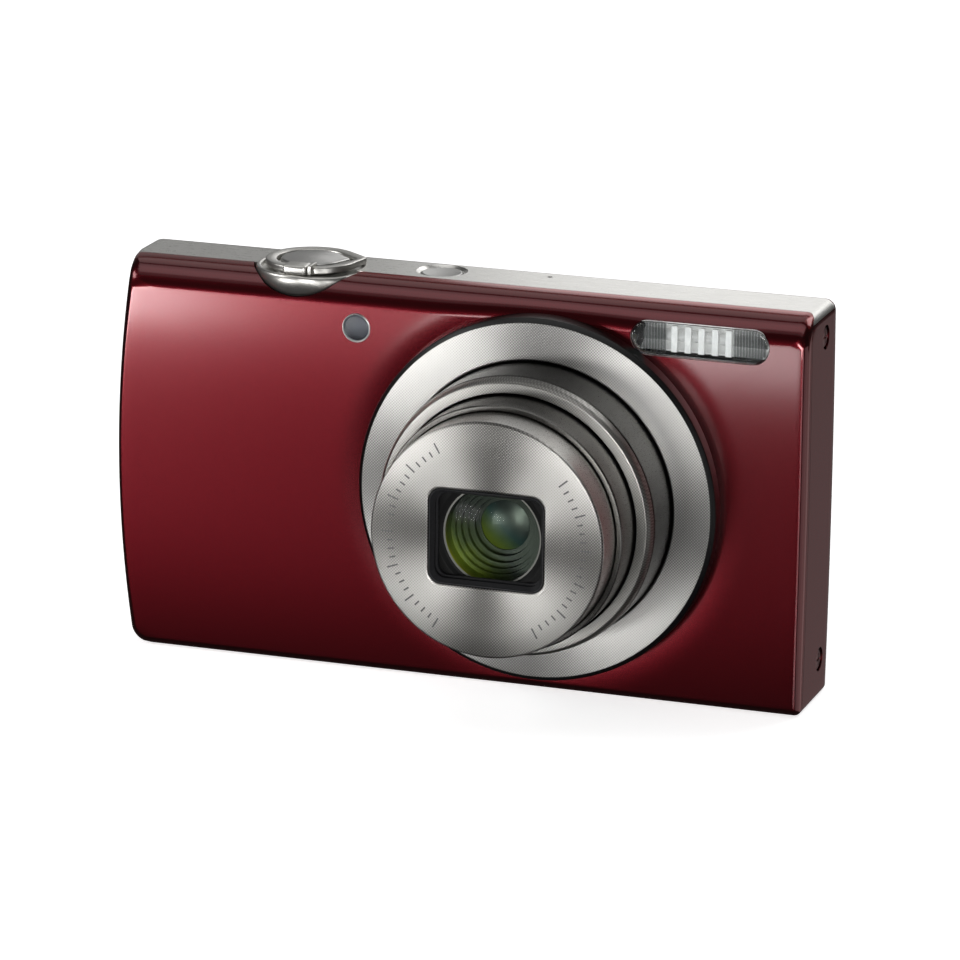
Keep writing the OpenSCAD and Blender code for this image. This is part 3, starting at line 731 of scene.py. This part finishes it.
def lever_seat():
    """Collar round the lever; its front bulges through the front cover like the side of a bowl."""
    levels = [(49.4, 0.66), (49.7, 0.78), (50.2, 0.875), (50.85, 0.935), (51.6, 0.98), (52.3, 1.0),
              (52.9, 0.992), (53.12, 0.978), (53.22, 0.955), (53.24, 0.925), (53.18, 0.905), (53.0, 0.895)]
    rings = [drop_ring(seat_out * s, z) for z, s in levels] + [drop_ring(seat_out * 0.89, 52.7)]

    def sink(x, z):
        """The rim is lower towards the drop's tip."""
        return 0.3 * min(1, max(0, (x - AXIS_X) / 5)) * (z > 52.6)

    return layered("zoom_lever_seat", [[(x, d, z - sink(x, z)) for x, d, z in ring] for ring in rings], 50)


def zoom_lever():
    """Drop-shaped ring with a grip and a thin fin at its front."""
    base, top = 53.2, 54.12
    outer = [(0.975, base), (1, base + 0.12), (1, top - 0.22), (0.992, top - 0.09), (0.975, top - 0.02),
             (0.955, top)]
    inner = [(1.05, top - 0.06), (1.025, top - 0.1), (1.005, top - 0.2), (1, top - 0.5), (1, base)]
    rings = [drop_ring(lever_out * s, z) for s, z in outer] + [drop_ring(lever_in * s, z) for s, z in inner]
    ring = layered("zoom_lever_ring", rings, 50, closed=True)
    nub = box("nub", (AXIS_X - 1.6, AXIS_X + 1.7), (AXIS_D - 7.3, AXIS_D - 4.7), (53.25, 54.55), 0.4, 5)
    fin = box("fin", (AXIS_X + 1.8, AXIS_X + 2.35), (AXIS_D - 7.0, AXIS_D - 4.6), (53.3, 54.65), 0.15, 3)
    return join("zoom_lever_body", [ring, nub, fin])


def shutter_button():
    """Drop-shaped cap with a domed top."""
    rim, rim_z, dome = 0.95, 54.1, 0.4
    levels = [(0.97, 52.6), (1.0, 52.7), (1.0, 53.85), (0.985, 53.99), (rim, rim_z)]
    for k in range(1, 16):
        s = rim * (1 - k / 16)
        levels.append((s, rim_z + dome * (1 - (s / rim) ** 2)))
    return layered("shutter_button_cap", [drop_ring(button_out * s, z) for s, z in levels], 60)


def shutter_spring():
    """Coil spring under the shutter button."""
    turns, per_turn, r, wire, z0, z1 = 4.5, 28, 2.0, 0.19, 50.3, 52.25
    rings = []
    for k in range(int(turns * per_turn) + 1):
        a = 2 * pi * k / per_turn
        z = z0 + (z1 - z0) * k / (turns * per_turn)
        rings.append([(AXIS_X + (r + u) * cos(a), AXIS_D + (r + u) * sin(a), z + v)
                      for u, v in circle(0, 0, wire, 10)])
    return layered("shutter_spring_coil", rings, 60)


def power_button():
    return lathe("power_button_cap", [
        (0, 50.9, 0), (2.75, 50.9, 0.05), (2.75, 53.02, 0.22), (2.2, 52.98, 0.3), (0, 52.84, 0)],
        96, POWER, True)


# ---- casing pieces
LAMP = (-13.67, 46.9)
FLASH = (33.2, 49.15)
FLASH_W, FLASH_H = 18.6, 4.4
KEYS = {"movie": (-37.2, 44.0, 2.6), "playback": (-24.6, 37.5, 2.2), "menu": (-37.4, 10.5, 2.4),
        "help": (-24.8, 10.5, 2.4)}
PAD = (-31.0, 24.5)
STATUS = (-17.8, 44.5)
MICROPHONE = (9.2, 11.7)
SCREEN = (14.15, 26.6)
SCREWS_SIDE = ((10.1, 5.3), (9.0, 49.2))  # depth and Z
SCREWS_BASE = ((22.0, 13.2), (31.5, 4.4))  # X and depth
SCREW_HOLE = 1.62
STRAP_D, STRAP_Z = (6.7, 11.7), (36.6, 43.4)  # strap recess
FLAP_D, FLAP_Z = (9.2, 14.0), (13.0, 26.0)  # terminal cover
DOOR_X, DOOR_D = (-44.9, -10.0), (3.7, 12.9)  # battery door
CAP_X = -45.32  # inner face of the cap beyond the door's hinge
HINGE_X, HINGE_Z, HINGE_R = -44.45, 0.75, 0.6
CUT_GAP = 0.1
PAST = -60  # well past the left end


def rod(name, d, z, r, x0, x1, n=48):
    """Round bar along X."""
    return layered(name, [[(x, d + u, z + v) for u, v in circle(0, 0, r, n)] for x in (x0, x1)])


def wider(span, by=CUT_GAP):
    return span[0] - by, span[1] + by


def build_front():
    front = front_shell()
    grown = seat_out * 1.035
    levels = ((49.3, 0.68), (49.7, 0.8), (50.2, 0.89), (50.85, 0.945), (51.6, 0.985), (56, 1.0))
    hole = layered("tool", [drop_ring(grown * s, z) for z, s in levels])
    cut(front, [hole, tool_prism(circle(*LAMP, 1.97, 64), -5, 5),
                tool_prism(stadium(FLASH_W + 0.16, FLASH_H + 0.16, FLASH), -5, 5)], smooth=50)
    piece(soften_rim(rename(front, "front_cover_shell")), "red", "casing", "casing_paint", "front_cover")


def build_top():
    top = top_shell()

    def tool(profile, segments, at):
        """Cutter turned about a vertical axis, open to above."""
        return lathe("tool", profile + [(profile[-1][0], 55, 0), (0, 55, 0)], segments, at, True)

    dish = lathe("tool", [(0, 52.85, 0), (2.95, 52.85, 0), (3.55, 53.25, 0.3), (3.7, 55, 0), (0, 55, 0)],
                 96, POWER, True)
    well = tool([(0, 48, 0), (2.85, 48, 0)], 96, POWER)
    mic = tool([(0, 48, 0), (0.36, 48, 0)], 32, MICROPHONE)
    seat_hole = layered("tool", [drop_ring(seat_out * 0.93, z) for z in (45, 56)])
    cut(top, [dish, well, mic, seat_hole], smooth=50)
    piece(soften_rim(rename(top, "top_cover_plate"), 0.13), "top", "casing", "top_paint", "top_cover")
    piece(lever_seat(), "control", "casing", "top_paint")


def rear_tools():
    """Cutters for every opening in the rear cover."""
    return [
        box("tool", (PAST, -44), wider(FLAP_D), wider(FLAP_Z)),
        box("tool", (PAST, DOOR_X[1] + CUT_GAP), wider(DOOR_D), (-2, 1.5)),
        *(rod("tool", d, z, SCREW_HOLE, 40, 60) for d, z in SCREWS_SIDE),
        *(tool_upright(circle(x, d, SCREW_HOLE, 48), -3, 3) for x, d in SCREWS_BASE),
        *(tool_upright(circle(39 + 1.8 * k, THICK / 2, 0.5, 24), -3, 3) for k in range(-2, 3)),
        tool_upright(circle(0, THICK / 2, 4.55, 64), -3, 3),
        box("tool", (PAST, -43), STRAP_D, STRAP_Z),
        tool_prism(rounded_rect(55.6, 42.1, 0.8, SCREEN), 15, 20),
        *(tool_prism(circle(x, z, r + 0.15, 64), 15, 20) for x, z, r in KEYS.values()),
        tool_prism(circle(*PAD, 9.15, 96), 15, 20), tool_prism(circle(*STATUS, 0.85, 32), 15, 20)]


def strap_recess():
    """Floor and four walls of the recess that the strap bar crosses."""
    floor_x, wall_x, wall = (-44.6, -44.1), (-46.6, -44.1), 0.4
    d_out, z_out = wider(STRAP_D, wall), wider(STRAP_Z, wall)
    pieces = [box("pocket", floor_x, d_out, z_out)]
    pieces += [box("w", wall_x, sorted(d), z_out) for d in zip(d_out, STRAP_D)]
    pieces += [box("w", wall_x, d_out, sorted(z)) for z in zip(z_out, STRAP_Z)]
    return pieces


def build_rear():
    """Rear cover, and the doors that are cut from the same skin so that they lie flush with it."""
    rear = rear_shell()

    def kept(x, d, z):
        return cut(link("kept", rear.data.copy()), [box("tool", x, d, z)], "INTERSECT", 50)

    flap = kept((PAST, -46.2), FLAP_D, FLAP_Z)
    door = kept(DOOR_X, DOOR_D, (-2, 3))
    end_cap = kept((PAST, CAP_X), DOOR_D, (-2, 1.42))
    cut(soften_rim(rear, final=False), rear_tools(), smooth=20)
    rear = join("rear_cover_shell", [rear] + strap_recess())
    shade(rear, 20)
    piece(rear, "red", "casing", "casing_paint", "rear_cover")
    flap = soften_rim(rename(flap, "terminal_cover_plate"))
    piece(flap, "red", "side_door", "casing_paint", "terminal_cover")
    rolled_edge = [(HINGE_X + u, HINGE_Z + v) for u, v in circle(0, 0, HINGE_R, 32)]
    knuckle = prism("knuckle", rolled_edge, 4.9, 11.7, 0.05, 1)
    door = join("battery_door_plate", [soften_rim(door), knuckle])
    piece(door, "red", "bottom_door", "casing_paint", "battery_door")
    piece(soften_rim(rename(end_cap, "door_end_cap")), "red", "door_slider", "casing_paint")


# ---- lens
def lens_pieces():
    piece(lathe("lens_ring_body", [
        (18.88, 1.0, 0), (24.2, 1.0, 0), (24.2, -1.6, 0), (23.9, -2.36, 0.08), (19.05, -2.38, 0.12),
        (18.88, -2.2, 0.05)], 256), "ring", "casing", "ring_metal", "lens_trim_ring")
    piece(lathe("lens_ring_wall", [
        (24.0, 1.0, 0), (24.5, 1.0, 0), (24.5, -1.8, 0.12), (23.93, -2.34, 0.05), (23.86, -2.3, 0),
        (23.86, -1.8, 0)], 256), "ring_wall", "casing", "ring_metal")
    piece(lathe("outer_barrel_tube", [
        (17.8, 3.0, 0), (18.7, 3.0, 0), (18.7, -9.5, 0.2), (18.62, -9.8, 0), (17.8, -9.8, 0)], 224),
          "barrel_outer", "outer_lens_group", "barrel_outer", "outer_barrel")
    piece(lathe("outer_barrel_rim", [
        (17.8, -9.8, 0), (18.62, -9.8, 0), (18.45, -10.75, 0.5), (18.05, -11.3, 0.12), (16.72, -11.3, 0.1),
        (16.72, -10.4, 0.05), (17.8, -10.4, 0)], 224), "barrel_rim", "outer_lens_group", "barrel_outer")
    piece(lathe("middle_barrel_tube", [
        (15.95, -2.4, 0), (16.45, -2.4, 0), (16.45, -16.4, 0.1), (16.3, -16.6, 0.06), (15.75, -16.6, 0.1),
        (15.75, -15.7, 0.05), (15.95, -15.7, 0)], 224),
          "barrel_middle", "middle_lens_group", "barrel_middle", "middle_barrel")
    piece(lathe("front_barrel_tube", [
        (14.8, -8.3, 0), (15.6, -8.3, 0), (15.6, -21.45, 0.05), (15.5, -21.5, 0), (14.8, -21.5, 0)],
        224), "barrel_front", "front_lens_group", "barrel_front", "front_barrel")


def front_window():
    """Front disc, the black frame in its window, and the plate behind that carries the blades."""
    n = 288
    angles = np.linspace(0, 2 * pi, n, endpoint=False)
    turns = [2 * pi * k / n for k in range(n)]

    def window(w, h, r):
        return ray_radius(rounded_rect(w, h, r), (0, 0), angles)

    def rings(name, levels, smooth):
        """Closed skin through (radius or radii, depth) levels."""
        points = [[(LENS_X + r * cos(a), d, LENS_Z + r * sin(a)) for a, r in zip(turns, np.full(n, radii))]
                  for radii, d in levels]
        return layered(name, points, smooth, closed=True)

    hole = window(15.6, 12.7, 1.8)
    disc = rings("front_disc_face", [
        (14.9, -21.3), (15.56, -21.3), (15.56, -21.78), (15.5, -21.9), (15.4, -21.97), (15.28, -22.0),
        (12.0, -22.0), (hole + 0.4, -22.0), (hole + 0.1, -21.98), (hole + 0.02, -21.9), (hole, -21.7),
        (hole, -21.3)], 50)
    piece(disc, "disc", "front_lens_group", "ring_metal", "front_name_ring")
    lip, throat = window(15.5, 12.6, 1.75), window(14.3, 11.4, 1.5)
    bezel = rings("window_frame", [
        (lip, -21.35), (lip, -21.86), (lip - 0.08, -21.92), (lip - 0.2, -21.9), (throat + 0.05, -21.27),
        (throat, -21.22), (throat, -21.13), (throat + 0.5, -21.13)], 35)
    piece(bezel, "bezel", "front_lens_group", "black_plastic", "window_bezel")
    mask = window(13.9, 11.0, 1.4)
    plate = rings("barrier_backplate", [
        (14.5, -20.5), (mask + 0.1, -20.5), (mask, -20.4), (mask, -20.05), (14.5, -20.05)], 35)
    piece(plate, "bezel", "front_lens_group", "black_plastic", "barrier_plate")


def optics():
    piece(lathe("lens_group_baffles", [
        (14.6, -19.9, 0), (14.6, -18.6, 0), (7.6, -18.6, 0), (7.6, -12.5, 0), (3.3, -12.5, 0),
        (3.3, -14.1, 0.05), (3.9, -14.1, 0.05), (3.9, -14.9, 0.05), (4.6, -14.9, 0.05), (4.6, -15.7, 0.05),
        (5.2, -15.7, 0.05), (5.2, -16.5, 0.05), (5.75, -16.5, 0.05), (5.75, -17.2, 0.05), (6.3, -17.2, 0.05),
        (6.3, -19.3, 0.2), (6.9, -19.55, 0.1), (7.4, -19.9, 0.1)], 144),
          "baffle", "front_lens_group", "black_plastic", "lens_group_holder")
    piece(lathe("front_lens_element", [
        (0, -19.35, 0), (3.0, -19.25, 1.0), (6.25, -18.75, 0.05), (6.25, -17.4, 0.05), (3.0, -17.5, 1.0),
        (0, -17.55, 0)], 96, smooth=70), "glass", "front_lens_group", "lens_glass", "front_lens")
    piece(lathe("rear_lens_element", [
        (0, -14.6, 0), (1.8, -14.45, 0.8), (3.35, -13.9, 0.05), (3.35, -12.7, 0), (0, -12.7, 0)],
        96, smooth=70), "coated_lens_painted_reflection", "front_lens_group", "lens_glass", "rear_lens")


def mark(outline, centre, c, s, d0, d1):
    """A flat mark: a (radius, offset) outline turned about a centre by a cosine and a sine."""
    return tool_prism([(centre[0] + r * c - t * s, centre[1] + r * s + t * c) for r, t in outline], d0, d1)


def tick_marks():
    """Short marks round the front disc, every fourth one longer."""
    inner, short, long, half_width = 12.6, 0.8, 1.5, 0.10
    marks = []
    for k in range(25):
        a = radians(-60 + 5 * k)
        outer = inner + (short if k % 4 else long)
        quad = [(inner, -half_width), (outer, -half_width), (outer, half_width), (inner, half_width)]
        for side in (-1, 1) if k <= 20 else (-1,):
            marks.append(mark(quad, LENS, side * cos(a), sin(a), -22.012, -21.9))
    piece(join("front_disc_marks", marks), "mark", "front_lens_group", "ring_metal")


# ---- front fittings
def focus_lamp():
    piece(lathe("af_lamp_lens", [
        (0, 0.06, 0), (1.6, 0.08, 0.1), (1.69, 0.2, 0.05), (1.69, 1.2, 0), (0, 1.2, 0)],
        72, LAMP), "lamp", "casing", "lamp_clear", "af_lamp")
    piece(lathe("af_lamp_cup", [
        (0, 1.9, 0), (0.9, 1.7, 0.3), (1.75, 1.25, 0.1), (1.95, 1.25, 0), (1.95, 2.3, 0), (0, 2.3, 0)],
        72, LAMP), "lamp_cup", "casing", "steel")
    piece(lathe("af_lamp_rim", [
        (1.71, 0.5, 0), (1.71, 0.14, 0.03), (1.85, 0.0, 0.04), (1.91, 0.02, 0), (1.91, 0.5, 0)],
        96, LAMP), "steel", "casing", "steel")


def flash_ribs():
    """Fine upright ribs inside the flash window, on both sides of the frosted bars."""
    x_mid, z_mid = FLASH
    inset = 1.95  # half height inside the window
    end = 7.0  # where its round ends start
    ribs = []
    for k in range(46):
        x = x_mid - 8.9 + 0.394 * k
        off = abs(x - x_mid)
        if abs(x - x_mid + 0.2) < 4.6 or off > 8.7:
            continue
        half = inset if off < end else sqrt(max(0.1, inset ** 2 - (off - end) ** 2))
        rib = [(x - 0.18, 1.2), (x + 0.18, 1.2), (x, 0.95)]
        ribs.append(layered("r", [[(u, d, z) for u, d in rib] for z in (z_mid - half, z_mid + half)]))
    return ribs


def flash():
    x_mid, z_mid = FLASH
    window = prism("flash_window_cover", stadium(FLASH_W, FLASH_H, FLASH), 0.3, 1.0, 0.3, 4)
    piece(window, "flash", "casing", "flash_clear", "flash_window")
    piece(join("flash_window_ribs", flash_ribs()), "rib", "casing", "flash_clear")
    bars = [box("b", (x_mid - 4.06 + 1.82 * k, x_mid - 3.22 + 1.82 * k), (1.06, 1.5),
                (z_mid - 1.75, z_mid + 1.75), 0.06, 2) for k in range(5)]
    piece(join("flash_frosted_bars", bars), "bar", "casing", "flash_clear")
    turns = [radians(-80 + 160 * k / 12) for k in range(13)]
    trough = [(1.7 + 3.4 * cos(a), z_mid + 1.95 * sin(a)) for a in turns]
    rows = [[(x, d, z) for d, z in trough] for x in (x_mid - 8.6, x_mid + 8.6)]
    back = sheet_solid("flash_trough", rows, 0.2, False, (x_mid, 1.0, z_mid))
    piece(back, "reflector", "casing", "bright_metal", "flash_reflector")
    tube = rod("flash_tube_glass", 3.3, z_mid, 0.8, x_mid - 8.2, x_mid + 8.2, 32)
    piece(tube, "white", "casing", "flash_clear", "flash_tube")


# ---- back and base fittings
def back_fittings():
    """Screen, keys, four-way pad and status lamp."""
    screen = prism("screen_window_plate", rounded_rect(55.5, 42.0, 0.8, SCREEN), 16.9, 18.12, 0.2, 3)
    piece(screen, "screen", "casing", "screen_glass", "screen_window")
    active = prism("screen_active_area", rounded_rect(53.6, 40.2, 0.3, SCREEN), 18.0, 18.128, 0.01, 1)
    piece(active, "screen_matte", "casing", "screen_matte")
    for name, (x, z, r) in KEYS.items():
        cap = lathe(f"{name}_key_cap", [
            (0, 15.6, 0), (r, 15.6, 0), (r, 18.3, 0.25), (r * 0.7, 18.36, 0.3), (0, 18.3, 0)], 72, (x, z))
        piece(cap, "key", f"{name}_key", "button_plastic", f"{name}_button")
    piece(lathe("four_way_pad", [
        (4.6, 15.6, 0), (9.0, 15.6, 0), (9.0, 18.2, 0.25), (8.3, 18.46, 0.3), (6.6, 18.3, 0.5),
        (4.9, 18.42, 0.2), (4.6, 18.3, 0.1)], 144, PAD),
          "key", "pad_ring", "button_plastic", "four_way_ring")
    piece(lathe("centre_key_cap", [
        (0, 15.6, 0), (4.4, 15.6, 0), (4.4, 18.3, 0.2), (3.2, 18.36, 0.4), (0, 18.28, 0)],
        96, PAD), "key", "centre_key", "button_plastic", "set_button")
    arrow = [(7.1, 0.0), (6.4, 0.5), (6.4, -0.5)]
    marks = [mark(arrow, PAD, cos(pi / 2 * k), sin(pi / 2 * k), 18.2, 18.36) for k in range(4)]
    piece(join("four_way_arrows", marks), "white", "pad_ring", "button_plastic")
    piece(lathe("status_lamp_lens", [(0, 15.6, 0), (0.8, 15.6, 0), (0.8, 18.0, 0.15), (0, 18.06, 0)],
                32, STATUS), "green", "casing", "lamp_green", "status_lamp")


def screw(at, facing):
    """A small cross-head screw at its seat, with its head facing a direction."""
    head = lathe("s", [(0, -0.5, 0), (1.4, -0.5, 0), (1.45, 0.0, 0.25), (0.8, 0.1, 0.3), (0, 0.12, 0)],
                 40, (0, 0), True)
    long, wide, deep = (-0.85, 0.85), (-0.14, 0.14), (-0.15, 1)
    cut(head, [box("a", long, wide, deep), box("b", wide, long, deep)], smooth=35)
    turn = Vector((0, 0, 1)).rotation_difference(Vector(facing)).to_matrix().to_4x4()
    origin = Matrix.Translation(Vector(to_row((0, 0, 0))))
    head.data.transform(Matrix.Translation(Vector(to_row(at))) @ turn @ origin.inverted())
    return head


def base_fittings():
    screws = [screw((47.45, d, z), (1, 0, 0)) for d, z in SCREWS_SIDE]
    screws += [screw((x, d, 0.55), (0, 0, -1)) for x, d in SCREWS_BASE]
    piece(join("casing_screw_heads", screws), "screw", "casing", "screw_dark", "casing_screws")
    pitch, z = 0.62, 4.6
    thread = [(4.5, 0.0, 0.15), (4.5, 5.4, 0), (0, 5.4, 0), (0.0, z, 0), (3.0, z, 0)]
    while z > 0.5:
        thread += [(3.3, z - pitch / 2, 0.05), (2.95, z - pitch, 0.05)]
        z -= pitch
    thread += [(3.35, 0.0, 0.1)]
    piece(lathe("tripod_socket_thread", thread, 72, (0, 9.0), True),
          "steel", "casing", "steel", "tripod_socket")


# ---- everything
def carry_over():
    """Materials and slightly broken edges for the CAD nodes that are shown as they are."""
    record = frame["record"]
    slots = {s["node"]: s["material_slot"] for s in record["subparts"]}
    for name, obj in frame["nodes"].items():
        obj.data.materials.clear()
        obj.data.materials.append(M[SLOT_LOOK.get(slots[name], slots[name])])
        if not obj.hide_render:
            shade(obj, 35)
            break_edges(obj, 0.06, 2, 60)


build_front()
build_top()
build_rear()
lens_pieces()
front_window()
optics()
tick_marks()
focus_lamp()
flash()
back_fittings()
base_fittings()
piece(zoom_lever(), "control", "zoom_ring", "control_metal", "zoom_lever")
piece(shutter_button(), "button", "shutter_key", "control_metal", "shutter_button")
coil = piece(shutter_spring(), "steel", "casing", "steel", "shutter_spring")
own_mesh(coil)
piece(power_button(), "button", "power_key", "control_metal", "power_button")
carry_over()


# ---- stage, light, camera
def floor():
    half = 6.0
    corners = [(-half, -half, 0), (half, -half, 0), (half, half, 0), (-half, half, 0)]
    mesh = bpy.data.meshes.new("floor")
    mesh.from_pydata(corners, [], [(0, 1, 2, 3)])
    obj = link("studio_floor", mesh)
    obj.location.z = -0.00005  # just under the base, so that the two don't flicker
    m = Look("floor_white", (0.8, 0.8, 0.8), 0.8)
    m.set("Emission Color", (1, 1, 1, 1))
    m.set("Emission Strength", 0.75)
    m.vary_rough(3, 0.75, 0.85)
    mesh.materials.append(m.mat)
    obj.visible_glossy = False
    obj.visible_shadow = False


def direction(azimuth, elevation):
    """Away from the object; azimuth 0 is in front of it, positive to its right."""
    az, el = radians(azimuth), radians(elevation)
    return Vector((sin(az) * cos(el), -cos(az) * cos(el), sin(el)))


def softbox(name, azimuth, elevation, distance, size, radiance):
    """Area light that faces the object."""
    away = direction(azimuth, elevation)
    light = bpy.data.lights.new(name, "AREA")
    light.shape, light.size, light.size_y = "RECTANGLE", size[0], size[1]
    light.energy = radiance * pi * size[0] * size[1]
    obj = link(name, light)
    obj.location = Vector((0, 0, LIGHT_AIM_Z)) + away * distance
    obj.rotation_euler = away.to_track_quat("Z", "Y").to_euler()
    obj.visible_camera = False


LIGHT_AIM_Z = 0.027
WORLD_LIGHT = 0.04
# Name, azimuth and elevation in degrees, distance and size in metres, radiance
LIGHTS = (
    ("strip_left", -34, -6.5, 1.2, (0.46, 0.17), 18),
    ("strip_left_low", -34, -12, 1.2, (0.46, 0.08), 0.35),
    ("strip_right", -14.5, -8.5, 1.2, (0.13, 0.13), 8),
    ("key_left", -62, 32, 1.1, (0.5, 0.5), 5),
    ("overhead", 0, 86, 1.1, (1.2, 0.7), 0.8),
    ("overhead_front", 0, 74, 1.15, (1.2, 0.8), 0.3),
    ("overhead_back", 190, 52, 1.3, (1.1, 0.6), 0.6),
    ("back_key", 150, 38, 1.2, (0.5, 0.5), 3),
    ("back_right", 181.5, 18, 1.3, (0.8, 0.75), 1.15),
    ("back_left", 212, 18, 1.4, (0.5, 0.75), 0.25),
    ("back_low", 158, -20, 1.3, (1.0, 0.45), 0.13),
    ("fill_right", 50, -3, 1.1, (0.22, 0.9), 3.2),
    ("edge_right", 102, -16, 1.3, (1.1, 0.4), 0.65),
    ("back_fill", 138, -17, 1.25, (0.5, 0.55), 0.45),
    ("edge_line", 28, -16, 1.2, (0.07, 0.5), 9),
    ("front_fill", 10, 4, 1.3, (0.3, 0.5), 17),
)


def lighting():
    world = bpy.data.worlds.new("studio")
    bpy.context.scene.world = world
    world.use_nodes = True
    background = world.node_tree.nodes["Background"].inputs
    background["Color"].default_value = (1, 1, 1, 1)
    background["Strength"].default_value = WORLD_LIGHT
    for light in LIGHTS:
        softbox(*light)


VIEW_AZIMUTH, VIEW_ELEVATION, VIEW_ROLL = 18.63, 15.68, 0.65  # degrees
VIEW_TARGET = (3.74, 0.0, 27.98)
VIEW_DISTANCE = 0.71935
FRAME_WIDTH = 960  # pixels
FOCAL_LENGTH = 5485.75  # pixels
SENSOR_WIDTH = 36.0


def camera():
    azimuth, roll = radians(VIEW_AZIMUTH), radians(VIEW_ROLL)
    back = direction(VIEW_AZIMUTH, VIEW_ELEVATION)
    right = Vector((cos(azimuth), sin(azimuth), 0))
    up = back.cross(right)
    c, s = cos(roll), sin(roll)
    right, up = right * c + up * s, up * c - right * s
    data = bpy.data.cameras.new("camera")
    data.sensor_width, data.lens = SENSOR_WIDTH, FOCAL_LENGTH / FRAME_WIDTH * SENSOR_WIDTH
    data.clip_start, data.clip_end = 0.01, 20
    obj = link("camera", data)
    at = Vector(to_row(VIEW_TARGET)) + back * VIEW_DISTANCE
    turn = Matrix((right, up, back)).transposed().to_4x4()
    obj.matrix_world = Matrix.Translation(at) @ turn
    bpy.context.scene.camera = obj


floor()
lighting()
camera()
bpy.context.scene.view_settings.view_transform = "Standard"
